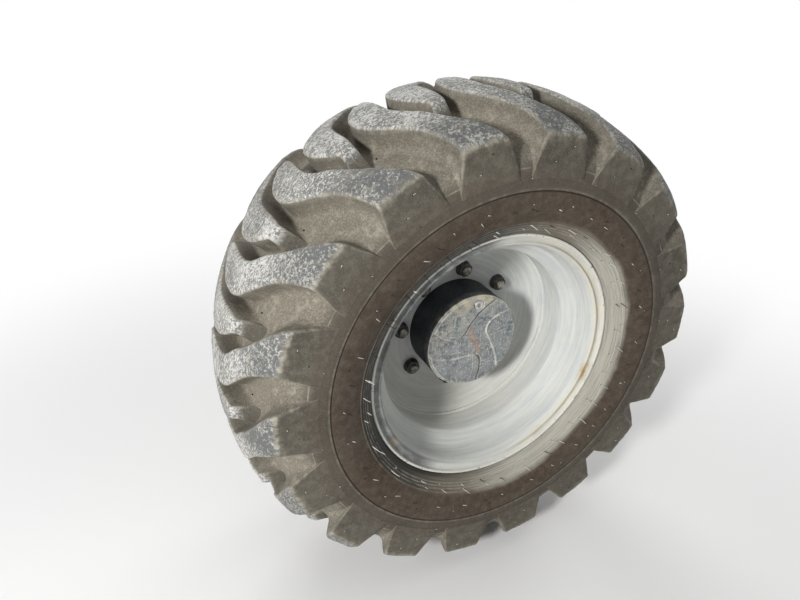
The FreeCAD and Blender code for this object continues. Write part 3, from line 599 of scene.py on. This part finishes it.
def section_at(along):
    """Offset, radius, normal and lug height at places along the section, on either side."""
    side = np.where(along >= 0, 1.0, -1.0)
    columns = (*section.T, *section_normal.T, lug_top)
    offset, radius, normal_offset, normal_radius, height = [
        np.interp(np.abs(along), lengths, column) for column in columns]
    return offset * side, radius, normal_offset * side, normal_radius, height


# Lugs

# Stations of a lug on its shoulder face: radius in millimetres, back and front angle in degrees,
# slope of the walls and radius of the fillet at their foot in millimetres
LUG_FACE = [
    (398, -8.4, 8.4, 0.30, 3), (410, -7.9, 8.0, 0.28, 7), (432, -7.1, 7.2, 0.26, 10),
    (455, -6.1, 6.3, 0.26, 13),
]
# Stations beside the edge between shoulder face and crown: distance from it and back angle
LUG_EDGE = [(1.3, -5.3), (-1.3, -5.1)]
# Stations on the crown: offset in millimetres, back and front angle, share of the full height,
# slope and fillet
LUG_CROWN = [
    (188, -4.0, 5.9, 1.0, 0.27, 16), (163, -0.6, 7.4, 1.0, 0.25, 17), (138, 2.2, 9.1, 1.0, 0.22, 16),
    (113, 4.4, 11.4, 1.0, 0.20, 14), (88, 6.2, 13.8, 1.0, 0.18, 12), (63, 8.7, 16.0, 1.0, 0.14, 9),
    (38, 9.9, 17.2, 1.0, 0.11, 7), (13, 10.1, 17.3, 1.0, 0.10, 7), (-12, 10.1, 17.0, 1.0, 0.10, 7),
    (-37, 10.0, 15.9, 1.0, 0.12, 8), (-60, 10.1, 14.3, 1.0, 0.16, 10), (-76, 10.4, 13.0, 1.0, 0.2, 12),
    (-86, 10.2, 13.5, 0.72, 0.2, 12), (-99, 10.0, 14.1, 0.34, 0.2, 9), (-112, 9.9, 14.6, 0.08, 0.2, 4),
    (-120, 9.9, 14.8, 0.0, 0.2, 1),
]
STATION_SPACING = 5.5 * MM
EDGE_ROUND = 5.0 * MM
TOP_COLUMNS = 12
# Lumps, dents on top and nicks at the edges: step and start of the seeds, beats round and along
# the tyre, scale and depth in millimetres
UNEVENNESS = [(7, 0, 3, 60, 5, 0.6), (5, 3, 17, 240, 9, 0.7), (3, 8, 29, 420, 12, 1.1)]


def lug_outline():
    """The lug from its foot on the sidewall to its nose.

    Rows: place along the section, back and front angle, share of the full height, slope, fillet."""
    rows = [(along_for_radius(radius * MM), back, front, 1.0, slope, fillet)
            for radius, back, front, slope, fillet in LUG_FACE]
    rows += [(EDGE + beyond * MM, back, 5.4, 1.0, 0.26, 15) for beyond, back in LUG_EDGE]
    rows += [(along_for_offset(offset * MM), *rest) for offset, *rest in LUG_CROWN]
    return np.array(rows)


def smooth_rows(rows):
    """Resample the rows evenly along the lug, rounding their corners but not the edge."""
    length = np.concatenate([[0], np.cumsum(np.abs(np.diff(rows[:, 0])) + 1e-6)])
    edge_rows = range(len(LUG_FACE), len(LUG_FACE) + len(LUG_EDGE))
    marks = [0, *[length[row] for row in edge_rows], length[-1]]
    stations = []
    for start, end in zip(marks[:-1], marks[1:]):
        parts = max(1, round((end - start) / STATION_SPACING))
        stations += [start + (end - start) * part / parts for part in range(parts)]
    stations = np.array([*stations, length[-1]])
    result = np.stack([np.interp(stations, length, column) for column in rows.T], -1)
    kernel = np.array([1, 3, 5, 3, 1]) / 13
    for column in (1, 2):
        padded = np.pad(result[:, column], 2, mode="edge")
        result[2:-2, column] = np.convolve(padded, kernel, mode="valid")[2:-2]
    return result


def wall_profile(full, slope, fillet, bevel):
    """A lug's wall from foot to top: distance out, lift, how hollow and how worn it is."""
    profile = []
    for turn in np.radians([0, 22, 45, 68, 90]):
        sunk = 0.5 * MM if turn == 0 else 0
        out = slope * (full - fillet) + fillet * (1 - math.sin(turn))
        profile.append((out, fillet * (1 - math.cos(turn)) - sunk, 1.0, 0.0))
    for part, edge in ((0.35, 0.0), (0.7, 0.0), (1.0, 0.22)):
        lift = fillet + (full - bevel - fillet) * part
        profile.append((slope * (full - lift), lift, 1.0 - part * 0.45, edge))
    for turn, edge in zip(np.radians([30, 60, 90]), (0.5, 0.45, 0.1)):
        left = 1 - turn / (math.pi / 2)
        out = slope * bevel * left - bevel * (1 - math.cos(turn))
        profile.append((out, full - bevel * (1 - math.sin(turn)), 0.3 * left, edge))
    return profile


def lug_surface():
    """One lug as a grid: along, angle, share of the height, how hollow and how worn it is."""
    along, back, front, share, slope, fillet = smooth_rows(lug_outline()).T
    radius = section_at(along)[1]
    full = section_at(along)[4] * share
    fillet = np.minimum(fillet * MM, 0.55 * full)
    bevel = np.minimum(EDGE_ROUND, 0.25 * full)
    walls = []
    for angle, side in ((np.radians(back), -1), (np.radians(front), 1)):
        run = np.gradient(along)
        rise = np.gradient(angle) * radius
        size = np.hypot(run, rise)
        out_along = -rise / size * side * np.sign(run)
        out_angle = np.abs(run) / size * side
        walls.append([(along + out_along * out, angle + out_angle * out / radius,
                       lift / np.maximum(full, 2 * MM), np.full_like(along, hollow),
                       np.full_like(along, edge))
                      for out, lift, hollow, edge in wall_profile(full, slope, fillet, bevel)])
    back_wall = walls[0]
    front_wall = walls[1][::-1]
    between = []
    for part in np.linspace(0, 1, TOP_COLUMNS + 2)[1:-1]:
        between.append(tuple(first + (second - first) * part
                             for first, second in zip(back_wall[-1], front_wall[0])))
    grid = np.array(back_wall + between + front_wall).transpose(1, 2, 0)
    return grid, share[:, None]


def build_lugs(name, side, shift):
    """All the lugs of one side as one piece; the far side's are mirrored."""
    grid, share = lug_surface()
    along, angle, height_share, hollow, edge = grid
    offset, radius, normal_offset, normal_radius, full = section_at(along)
    lift = height_share * (full * share)
    nose = smoothstep(0.55, 0.95, share)
    top = smoothstep(0.87, 0.97, height_share)
    on_crown = (np.abs(along) < EDGE).astype(float)
    ridge = bell(along, EDGE, 3.4 * MM) * top
    edge = np.maximum(edge * smoothstep(0.2, 0.7, share), ridge * 0.9)
    quads = grid_faces(*along.shape)
    vertices = []
    faces = []
    places = []
    for copy in range(LUGS):
        start = 2 * math.pi * copy / LUGS + shift
        out = lift
        for row, where in zip(UNEVENNESS, (height_share, top, edge)):
            step, first_seed, beats_round, beats_along, scale, depth = row
            seed = copy * step + first_seed + side
            uneven = ripple(seed, angle * beats_round + start, along * beats_along, scale)
            out = out - np.abs(uneven) * depth * MM * where
        place_offset = offset + normal_offset * out
        turn = angle + start
        first = len(vertices)
        vertices += turned(radius + normal_radius * out, TYRE_REACH + place_offset * side, turn).tolist()
        faces += [tuple(first + corner for corner in quad)[::side] for quad in quads]
        shifted = np.full_like(turn, 1.7 * copy + side)
        places.append(np.stack([turn * TYRE_RADIUS, place_offset, shifted], -1).reshape(-1, 3))
    lugs = make_object(name, vertices, faces, "tyre_rubber", 55)
    store(lugs, "worn", np.tile((top * on_crown * nose).ravel(), LUGS))
    store(lugs, "hollow", np.tile((hollow * (1 - 0.25 * height_share)).ravel(), LUGS))
    store(lugs, "edge", np.tile(edge.ravel(), LUGS))
    layer = lugs.data.attributes.new("tread_place", "FLOAT_VECTOR", "POINT")
    layer.data.foreach_set("vector", np.concatenate(places).ravel())
    return lugs


# Carcass

# Ribs and groove of the sidewall: radius, height and width in millimetres
SIDE_RIBS = [(311.5, 1.7, 1.1), (386, 0.6, 1.2), (417, 1.0, 1.2)]
BEAD_RIBS = [(294.6, 1.2, 0.9), (299.8, 1.2, 0.9), (305, 1.2, 0.9)]
SIDE_GROOVE = (375, 1.4, 1.2)
# A shallow hollow that keeps ribs and hairs within the widest place
SUNK = (380, 1.2, 17)
# Pale lines painted as highlights along the ribs: radius, amount and width
PALE_RIBS = [
    (311.5, 0.6, 0.8), (305, 0.9, 0.9), (299.8, 0.9, 0.9), (294.6, 0.9, 0.9), (378.4, 0.5, 1.0),
    (417, 1.0, 1.0),
]
# Stretches whose ribs need dense rows of points
RIBBED = [(0, 315), (371, 379), (413, 421)]
SIDEWALL_TOP = 424 * MM
SAMPLE_STEP = 0.45 * MM
BEAD_HEEL = [(284.6, 168.4), (283.0, 165.6), (282.2, 162.5), (281.9, 152)]


def row_spacing(level, side):
    """Distance between the carcass's rows of points, in millimetres."""
    if level >= SIDEWALL_TOP:
        return 7
    if side < 0:
        return 3.5
    return 0.8 if any(low * MM < level < high * MM for low, high in RIBBED) else 3


def carcass_outline():
    """The whole ribbed section from bead to bead, as (radius, reach) points."""
    half = {}
    for side in (1, -1):
        kept = [0]
        for place in np.arange(0, lengths[-1], SAMPLE_STEP):
            level = np.interp(place, lengths, section[:, 1])
            if place - kept[-1] >= row_spacing(level, side) * MM:
                kept.append(place)
        offset, radius, normal_offset, normal_radius, _ = section_at(np.array(kept[1:]))
        lift = bells(radius, SIDE_RIBS + BEAD_RIBS) - bells(radius, [SIDE_GROOVE, SUNK])
        radii = radius + normal_radius * (lift * MM)
        offsets = offset + normal_offset * (lift * MM)
        half[side] = [*zip(radii, offsets), *outline_mm(BEAD_HEEL)]
    outer = [(radius, TYRE_REACH + offset) for radius, offset in reversed(half[1])]
    inner = [(radius, TYRE_REACH - offset) for radius, offset in half[-1]]
    return outer + [(section[0, 1], TYRE_REACH)] + inner


def build_carcass():
    """The tyre without its lugs, painted dark in its groove, with painted shade beside the rim's lip
    that is heavier on the left.
    """
    piece = revolve("tyre_carcass", carcass_outline(), 360, "tyre_rubber", closed=False, sharp=70)
    points = vertices_of(piece)
    radii = np.hypot(points[:, 0], points[:, 2])
    left = 0.17 * points[:, 2] - points[:, 0]
    # Painted shade beside the rim's lip, heavier on the left
    lip_shade = smoothstep(287.5 * MM, 284.5 * MM, radii) * (0.15 + 0.6 * smoothstep(20 * MM, 150 * MM, left))
    store(piece, "hollow", smoothstep(400 * MM, 440 * MM, radii))
    store(piece, "edge", np.minimum(bells(radii, PALE_RIBS), 1) * 0.8)
    store(piece, "line", np.maximum(np.minimum(bells(radii, [SIDE_GROOVE]), 1) * 0.85, lip_shade))
    return piece


# Hairs

# Rows of hairs: radius, how many round the tyre, the longest one, angle of the first, and lean
HAIR_ROWS = [
    (297, 30, 14, 0.05, 0.4), (306, 36, 24, 0.11, 0.5), (341, 34, 27, 0.0, 2.2),
    (352, 24, 23, 0.2, 3.2), (400, 16, 9, 0.07, 5.0),
]
HAIR_LIMIT = 420.2 * MM
HAIR_SIDES = 5
# A hair from foot to tip: share of the length and of the thickness
HAIR_PROFILE = [(-0.06, 1.0), (0.35, 0.95), (0.7, 0.8), (1.0, 0.6), (1.02, 0.05)]
# Where the sidewall's hairs have been brushed to
DRIFT = Vector((0.93, 0, -0.37))
# Stubs on each lug's shoulder face: radius in millimetres and angle in degrees
FACE_STUBS = [(427, 2.2), (455, -1.5)]
FLOOR_STUB = 80 * MM


def side_place(radius):
    """Offset of the outboard sidewall at a radius."""
    widest = np.interp(WIDEST[1], section[::-1, 1], lengths[::-1])
    lower = lengths > widest - 40 * MM
    return np.interp(radius, section[lower, 1][::-1], section[lower, 0][::-1])


def hair(base, way, length, bend, size):
    """A thin curved hair with a round end, as vertices and faces."""
    way = way.normalized()
    across = way.orthogonal().normalized()
    other = way.cross(across)
    points = []
    for share, thickness in HAIR_PROFILE:
        middle = base + way * (length * share) + bend * (length * share * share)
        for turn in full_turn(HAIR_SIDES):
            away = across * math.cos(turn) + other * math.sin(turn)
            points.append(tuple(middle + away * (thickness * size * MM)))
    return points, grid_faces(len(HAIR_PROFILE), HAIR_SIDES, False, True)


def build_hairs():
    """The hairs and stubs left by the mould's vents, each with a dark foot, most hairs pale as a painted
    glint.
    """
    source = random.Random(11)
    straight = Vector((0, 0, 0))
    parts = []
    dark = []

    def grow(angle, radius, offset, length, way, size, drift=0.0):
        outward = spoke(angle)
        around = spoke(angle + math.pi / 2)
        way = outward * way[0] + around * way[1] - Vector((0, way[2], 0))
        way = (way + DRIFT * drift).normalized()
        reach = TYRE_REACH + offset
        room = (HAIR_LIMIT - reach) / max(-way.y, 0.05)
        base = outward * radius - Vector((0, reach, 0))
        bend = around * source.uniform(-0.2, 0.2) + outward * source.uniform(-0.2, 0.05)
        parts.append(hair(base, way, min(length, room), bend, size))
        parts.append(hair(base, -outward * 0.2 - Vector((0, 1, 0)), 0.7 * MM, straight, 1.7))
        dark.extend([source.choice((0.0, 0.1, 0.85)), 0.95])

    for radius, count, longest, start, lean in HAIR_ROWS:
        for place in range(count):
            angle = start + 2 * math.pi * (place + source.uniform(-0.25, 0.25)) / count
            length = longest * MM * source.choice((0.35, 0.7, 0.9, 1.0))
            way = (lean * source.uniform(-0.35, 0.1), lean * source.uniform(-0.45, 0.45), 1)
            grow(angle, radius * MM, side_place(radius * MM), length, way, 0.9, lean * 0.75)
    for copy in range(LUGS):
        start = 2 * math.pi * copy / LUGS
        for radius, degrees in FACE_STUBS:
            angle = start + math.radians(degrees + source.uniform(-0.6, 0.6))
            way = (0.1, source.choice((-1, 1)) * source.uniform(0.5, 1), 0.3)
            grow(angle, radius * MM, shoulder_plane(radius * MM) - 0.5 * MM, 5 * MM, way, 0.8)
        outward = spoke(start + math.radians(18 + source.uniform(-1, 1)))
        radius = np.interp(FLOOR_STUB, section[:, 0], section[:, 1])
        base = outward * radius - Vector((0, TYRE_REACH + FLOOR_STUB, 0))
        parts.append(hair(base, outward, 2.5 * MM, straight, 1.8))
        dark.append(0.95)
    piece = joined("tyre_vent_hairs", parts, "tyre_rubber", 80)
    points_each = len(HAIR_PROFILE) * HAIR_SIDES
    store(piece, "line", np.repeat(dark, points_each))
    # The pale share stands for a painted glint of light on the hairs
    store(piece, "pale", np.repeat(1 - np.array(dark), points_each))
    return piece


carcass = build_carcass()
outer_lugs = build_lugs("tyre_outer_lugs", 1, 0.0)
inner_lugs = build_lugs("tyre_inner_lugs", -1, math.pi / LUGS)
hairs = build_hairs()
for piece in (carcass, outer_lugs, inner_lugs, hairs):
    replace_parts(piece, "tyre")


# Rim and disc

# Outlines in millimetres: radius, reach and corner radius
RIM_OUTLINE = outline_mm([
    (275.6, 379.8, 2.2), (281, 379.8, 2.6), (281, 371, 3), (276.5, 366, 4), (258.5, 366, 5),
    (254.9, 323, 6), (229, 297, 8), (229, 165, 8), (254.9, 132, 6), (258.5, 68, 5), (276.5, 68, 4),
    (281, 63, 3), (281, 54.2, 2.6), (275.6, 54.2, 2.2), (273.8, 61.5, 2), (264.5, 64, 2.5),
    (261.4, 59, 1.5), (258.2, 60, 2.5), (252, 72, 6), (249.2, 92, 4), (246, 129, 6), (220, 162, 6),
    (220, 300, 5), (245.2, 325, 4), (249.2, 341, 3), (252, 362, 5), (258.2, 374, 2.5),
    (261.4, 375, 1.5), (264.5, 370, 2.5), (273.8, 372.5, 2),
])
DISC_OUTLINE = outline_mm([
    (110.5, 197, 1.2), (110.5, 184, 1.2), (171, 184, 10), (196, 195, 14), (219.6, 222, 4),
    (219.6, 239, 2), (213, 234.6, 6), (190, 208, 16), (168, 197, 14),
])
HUB_OUTLINE = outline_mm([
    (60.05, 92, 1), (107, 92, 2), (121, 106, 5), (121, 162, 4), (170, 162, 2), (170, 184, 2),
    (110.2, 184, 1), (110.2, 261.6, 0.6), (90, 261.6, 1), (90, 190, 1), (60.05, 190, 1),
])
WELD_RADIUS = 219.6 * MM

RIM_SECTION = subdivided(rounded(RIM_OUTLINE, 5), 9 * MM)
DISC_SECTION = subdivided(rounded(DISC_OUTLINE, 6), 6 * MM)
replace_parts(revolve("rim_barrel_turned", RIM_SECTION, 288, "rim_paint"), "rim_barrel")
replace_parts(revolve("wheel_disc_pressed", DISC_SECTION, 240, "rim_paint"), "wheel_disc")


def build_weld(name, middle, size):
    """A weld bead with the ripples of the welding."""
    outline = [(WELD_RADIUS + size * math.cos(turn), middle + size * math.sin(turn))
               for turn in full_turn(14)[::-1]]

    def beaded(radii, reaches, angles):
        beat = 1 + 0.09 * np.sin(angles * 170) + 0.07 * ripple(21, angles, 0 * angles, 1)
        return WELD_RADIUS + (radii - WELD_RADIUS) * beat, middle + (reaches - middle) * beat

    return revolve(name, outline, 900, "rim_paint", shape=beaded)


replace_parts(build_weld("disc_weld_outboard", 239.6 * MM, 4.2 * MM), "wheel_disc")
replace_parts(build_weld("disc_weld_inboard", 221.5 * MM, 4.0 * MM), "wheel_disc")


# Hub and cover

HUB_SECTION = subdivided(rounded(HUB_OUTLINE, 3), 8 * MM)
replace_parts(revolve("hub_turned", HUB_SECTION, 192, "hub_paint"), "hub_body")

COVER_REACH = 284 * MM
COVER_EDGE = 108.4 * MM
COVER_SIDE = outline_mm([
    (108.4, 284, 0.9), (110.2, 281.8, 1.2), (110.2, 262, 0.8), (89.7, 262, 0.5), (89.7, 254, 1),
    (78, 254, 1), (78, 268, 2), (1, 268, 0),
])
LOBE_RISE = 3.5 * MM
PLUG = (9 * MM, 87 * MM)
PLUG_CLEARANCE = 11.6 * MM
# The inner edges of the three lobes, from rim to rim, in millimetres across and up
LOBE_EDGES = [
    [(-113, -8), (-88, -23), (-70, -30), (-45, -33), (-20, -33), (-5, -32), (6, -36), (13, -44),
     (17, -54), (17, -78), (12, -97), (8, -113)],
    [(66, -94), (62, -64), (57, -45), (46, -17), (35, 7), (30.5, 14), (30, 22), (32, 32), (42, 45),
     (66, 56), (88, 60), (97, 62)],
    [(55, 98), (29, 82), (10, 69), (-3, 54), (-15, 40), (-21, 28), (-30, 19), (-43, 13), (-58, 14),
     (-78, 24), (-93, 38), (-106, 50)],
]
# Points beyond the rim that close each lobe's outline
LOBE_BEYOND = [
    [(-24, -138), (-130, -75), (-132, -48)],
    [(140, 25), (130, -75)],
    [(-107, 90), (-50, 141), (24, 138)],
]
# The stretches of those edges with a painted shadow along their foot, and a pale line beside it
SHADOWED_FEET = [LOBE_EDGES[0][7:], LOBE_EDGES[2][:6]]
SHADOW_BESIDE = 3.4 * MM
PALE_BESIDE = 6.2 * MM
RUST_LINE = [(-9, 27), (-1, 6), (11, -11), (16, -28)]


def distance_to_line(x, z, corners):
    """How far each point lies from a line through the corners."""
    nearest = np.full_like(x, 1.0)
    for (first_x, first_z), (last_x, last_z) in zip(corners[:-1], corners[1:]):
        along_x = last_x - first_x
        along_z = last_z - first_z
        share = ((x - first_x) * along_x + (z - first_z) * along_z) / (along_x ** 2 + along_z ** 2)
        share = np.clip(share, 0, 1)
        beside = np.hypot(x - first_x - share * along_x, z - first_z - share * along_z)
        nearest = np.minimum(nearest, beside)
    return nearest


def inside_lobe(x, z, edge, beyond):
    """How far each point lies inside a lobe's inner edge, negative outside it."""
    corners = outline_mm(edge + beyond)
    inside = np.zeros(x.shape, bool)
    for (first_x, first_z), (last_x, last_z) in zip(corners, corners[1:] + corners[:1]):
        if first_z == last_z:
            continue
        between = (first_z > z) != (last_z > z)
        inside ^= between & (x < first_x + (last_x - first_x) * (z - first_z) / (last_z - first_z))
    distance = distance_to_line(x, z, corners[:len(edge)])
    return np.where(inside, distance, -distance)


def lobe_lift(x, z):
    """Height of the lobes, with rounded edges, and how near each point is to an edge."""
    inside = np.maximum.reduce([inside_lobe(x, z, *lobe) for lobe in zip(LOBE_EDGES, LOBE_BEYOND)])
    inside = np.minimum(inside, COVER_EDGE - 2.6 * MM - np.hypot(x, z))
    inside = np.minimum(inside, np.hypot(x - PLUG[0], z - PLUG[1]) - PLUG_CLEARANCE)
    return smoothstep(-1.0 * MM, 1.6 * MM, inside) * LOBE_RISE, bell(inside, 0.9 * MM, 1.1 * MM)


def build_cover():
    """The end cover: a cast face with three lobes and a turned side."""
    segments = 400
    side = np.array(rounded(COVER_SIDE, 3, closed=False))
    face_radii = np.linspace(0.6 * MM, COVER_EDGE - 0.9 * MM, 100)
    radii = np.concatenate([face_radii, side[:, 0]])[:, None]
    reaches = np.concatenate([np.full(len(face_radii), COVER_REACH), side[:, 1]])[:, None]
    face = np.arange(len(radii))[:, None] < len(face_radii)
    angles = full_turn(segments)
    x = radii * np.cos(angles)
    z = radii * np.sin(angles)
    lift, edge = lobe_lift(x, z)
    low = lift < 0.5 * LOBE_RISE
    beside = np.minimum.reduce([distance_to_line(x, z, outline_mm(line)) for line in SHADOWED_FEET])
    edge = np.maximum(edge, 0.7 * bell(beside, PALE_BESIDE, 1.0 * MM) * low)
    # A painted shadow of the lobes' edges, on the lower face beside them
    lobe_shadow = bell(beside, SHADOW_BESIDE, 1.3 * MM) * low
    rust = bell(distance_to_line(x, z, outline_mm(RUST_LINE)), 0, 6.5 * MM)
    cast = (ripple(5, angles + 0 * radii, radii * 90, 11) - 1) * 0.2 * MM
    reach = reaches + np.where(face, lift + cast * smoothstep(2 * MM, 20 * MM, radii), 0)
    cover = make_object("end_cover_cast", turned(radii, reach, angles),
                        grid_faces(len(radii), segments, False, True), "hub_paint", 50)
    rim_edge = bell(radii, 108.8 * MM, 1.0 * MM) * (reaches > 280 * MM)
    store(cover, "edge", np.maximum(np.where(face, edge, 0), rim_edge))
    store(cover, "lobe_shadow", np.where(face, lobe_shadow, 0))
    store(cover, "rust", np.where(face, rust, 0))
    return cover


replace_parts(build_cover(), "end_cover")


# Nuts and studs

STUDS = 8
STUD_CIRCLE = 137.5 * MM
STUD_START = math.radians(37.8)
STUD_RADIUS = 10 * MM
THREAD_PITCH = 1.5 * MM
THREAD_DEPTH = 0.75 * MM
THREAD_END = 218.4 * MM
DISC_REACH = 197 * MM
SIXTH = math.pi / 3
NUT_HALF = 15 * MM
NUT_CHAMFER_START = 13.6 * MM
NUT_CHAMFER_RADIUS = 17.4 * MM
# A nut's radii and heights above the disc in millimetres; 30 stands for the hexagon
NUT_ROWS = [
    (10.2, 0), (17.2, 0), (18, 0.6), (18, 2.4), (17.4, 3.0), (30, 3.2), (30, 8), (30, 14.2),
    (30, 14.8), (30, 15.4), (30, 16), (10.4, 16), (10.2, 15.4), (10.2, 0),
]
STUD_END = outline_mm([(8.9, 219.4), (7.6, 220), (0.3, 220)])
STUD_HEAD = outline_mm([(0.3, 156), (14, 156), (15, 157), (15, 162)])
PLUG_ROWS = outline_mm([
    (0.2, 283.2), (5.0, 283.2), (5.2, 287.1), (6.0, 287.5), (9.6, 287.5), (10.5, 286.6), (10.5, 284),
])
SOCKET_HALF = 4.5 * MM


def flats(half, angles):
    """Radius of a hexagon at each angle, from half its width across the flats."""
    return half / np.cos(angles % SIXTH - SIXTH / 2)


def hexagon(turn):
    """Limit a nut's radius to its six flats, and chamfer its corners at the top."""
    def shape(radii, reaches, angles):
        above = reaches - (DISC_REACH + NUT_CHAMFER_START)
        chamfer = NUT_CHAMFER_RADIUS - np.maximum(above, 0)
        limit = np.minimum(flats(NUT_HALF, angles + turn), chamfer)
        return np.where(radii > 20 * MM, limit, radii), reaches
    return shape


def thread(radii, reaches, angles):
    """Cut a thread into a stud's full radius."""
    phase = (reaches / THREAD_PITCH - angles / (2 * math.pi)) % 1.0
    groove = np.abs(phase - 0.5) * 2
    return np.where(radii > 9.5 * MM, radii - groove * THREAD_DEPTH, radii), reaches


def socket(radii, reaches, angles):
    """Make the plug's socket hexagonal."""
    walls = (radii > SOCKET_HALF) & (radii < SOCKET_HALF + 1 * MM)
    return np.where(walls, flats(SOCKET_HALF, angles), radii), reaches


nuts = []
studs = []
for place in range(STUDS):
    angle = STUD_START + place * 2 * math.pi / STUDS
    centre = (STUD_CIRCLE * math.cos(angle), STUD_CIRCLE * math.sin(angle))
    rows = [(radius * MM, DISC_REACH + height * MM) for radius, height in NUT_ROWS]
    nuts.append(turned_part(rows, 96, centre, False, hexagon(place * 1.9)))
    rows = [(STUD_RADIUS, reach) for reach in np.arange(DISC_REACH + 12 * MM, THREAD_END, 0.35 * MM)]
    studs.append(turned_part(rows + STUD_END, 40, centre, False, thread))
    studs.append(turned_part(STUD_HEAD, 32, centre, False))
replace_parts(joined("wheel_nuts_formed", nuts, "fastener_steel", 25), "wheel_nuts")
stud_piece = joined("wheel_studs_threaded", studs, "fastener_steel", 50)
store(stud_piece, "tip", smoothstep(215 * MM, 219 * MM, -vertices_of(stud_piece)[:, 1]))
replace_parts(stud_piece, "wheel_studs")

plug = joined("cover_plug_turned", [turned_part(PLUG_ROWS, 60, PLUG, False, socket)], "plug_steel", 30)
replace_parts(plug, "cover_plug")

# Pieces that keep the solids' shapes
KEPT_NODES = {"valve_stem": "valve_rubber", "valve_cap": "valve_rubber", "spindle": "axle_steel",
              "seal_ring": "axle_steel", "axle_flange": "axle_iron"}
for node, look in KEPT_NODES.items():
    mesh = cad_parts[node].data
    mesh.materials.clear()
    mesh.materials.append(LOOKS[look])


# Camera, floor and light

CAMERA_PLACE = Vector((-0.6370, -1.2692, 0.7111))
CAMERA_FORWARD = Vector((0.3754, 0.8017, -0.4648)).normalized()
CAMERA_RIGHT = Vector((0.9059, -0.4236, 0)).normalized()
LAMP_TARGET = Vector((0, -0.22, 0))
FLOOR_SIZE = 12


def add_camera():
    """The photograph's own view of the wheel."""
    data = bpy.data.cameras.new("camera")
    data.lens = 27.97
    data.sensor_width = 36
    camera = add_to_scene("camera", data)
    up = CAMERA_RIGHT.cross(CAMERA_FORWARD)
    turn = Matrix((CAMERA_RIGHT, up, -CAMERA_FORWARD)).transposed().to_4x4()
    camera.matrix_world = Matrix.Translation(CAMERA_PLACE) @ turn
    bpy.context.scene.camera = camera


def add_lamp(name, place, size, power):
    """A round soft lamp that looks at the wheel."""
    data = bpy.data.lights.new(name, "AREA")
    data.shape = "DISK"
    data.size = size
    data.energy = power
    lamp = add_to_scene(name, data)
    lamp.location = place
    lamp.rotation_euler = (LAMP_TARGET - Vector(place)).to_track_quat("-Z", "Y").to_euler()


def white_when_seen(nodes, share, lit, white, output):
    """Show white where the camera, a mirror-like surface or glass looks at this."""
    seen = nodes.add("LightPath", output="Is Camera Ray")
    for ray in ("Is Glossy Ray", "Is Transmission Ray"):
        seen = seen.join("MAXIMUM", nodes.add("LightPath", output=ray))
    mixed = nodes.add("MixShader", (seen * share, Value(nodes, lit.outputs[0]), white))
    nodes.feed(nodes.tree.nodes[output].inputs["Surface"], mixed)


def floor_material():
    """A pale floor near the wheel that fades to the white of the background."""
    paint = Paint("floor")
    paint.colour = (0.88, 0.875, 0.865)
    far = paint.length(paint.place).span(0.7, 2.3)
    white = paint.add("Emission", {"Strength": 1})
    white_when_seen(paint, far, paint.surface, white, "Material Output")
    return paint.done(0.9)


def add_floor():
    """A floor under the tyre, out to beyond what the camera sees."""
    mesh = bpy.data.meshes.new("floor")
    corners = [(FLOOR_SIZE * x, FLOOR_SIZE * y, 0) for x, y in ((-1, -1), (1, -1), (1, 1), (-1, 1))]
    mesh.from_pydata(corners, [], [(0, 1, 2, 3)])
    mesh.materials.append(floor_material())
    floor = add_to_scene("floor", mesh)
    floor.location = (0, -0.2, tyre_low.z)


def add_world():
    """Soft bluish light all round, with a white background for the camera."""
    world = bpy.data.worlds.new("world")
    world.use_nodes = True
    nodes = Nodes(world.node_tree)
    light = nodes.tree.nodes["Background"]
    nodes.feed(light.inputs["Color"], (0.88, 0.91, 0.97))
    nodes.feed(light.inputs["Strength"], 0.15)
    white = nodes.add("Background", {"Color": (1, 1, 1), "Strength": 1})
    white_when_seen(nodes, 1, light, white, "World Output")
    bpy.context.scene.world = world


add_camera()
add_floor()
add_lamp("key", (-2.51, -1.82, 1.22), 0.5, 90)
add_lamp("sky", (-0.4, -0.9, 3.0), 2.6, 16)
add_lamp("fill", (2.4, -2.4, 1.2), 2.2, 3)
add_lamp("side", (3.0, 0.7, 1.3), 1.8, 34)
add_lamp("back", (0.9, 2.6, 1.9), 1.8, 48)
add_world()
bpy.context.scene.view_settings.view_transform = "Standard"
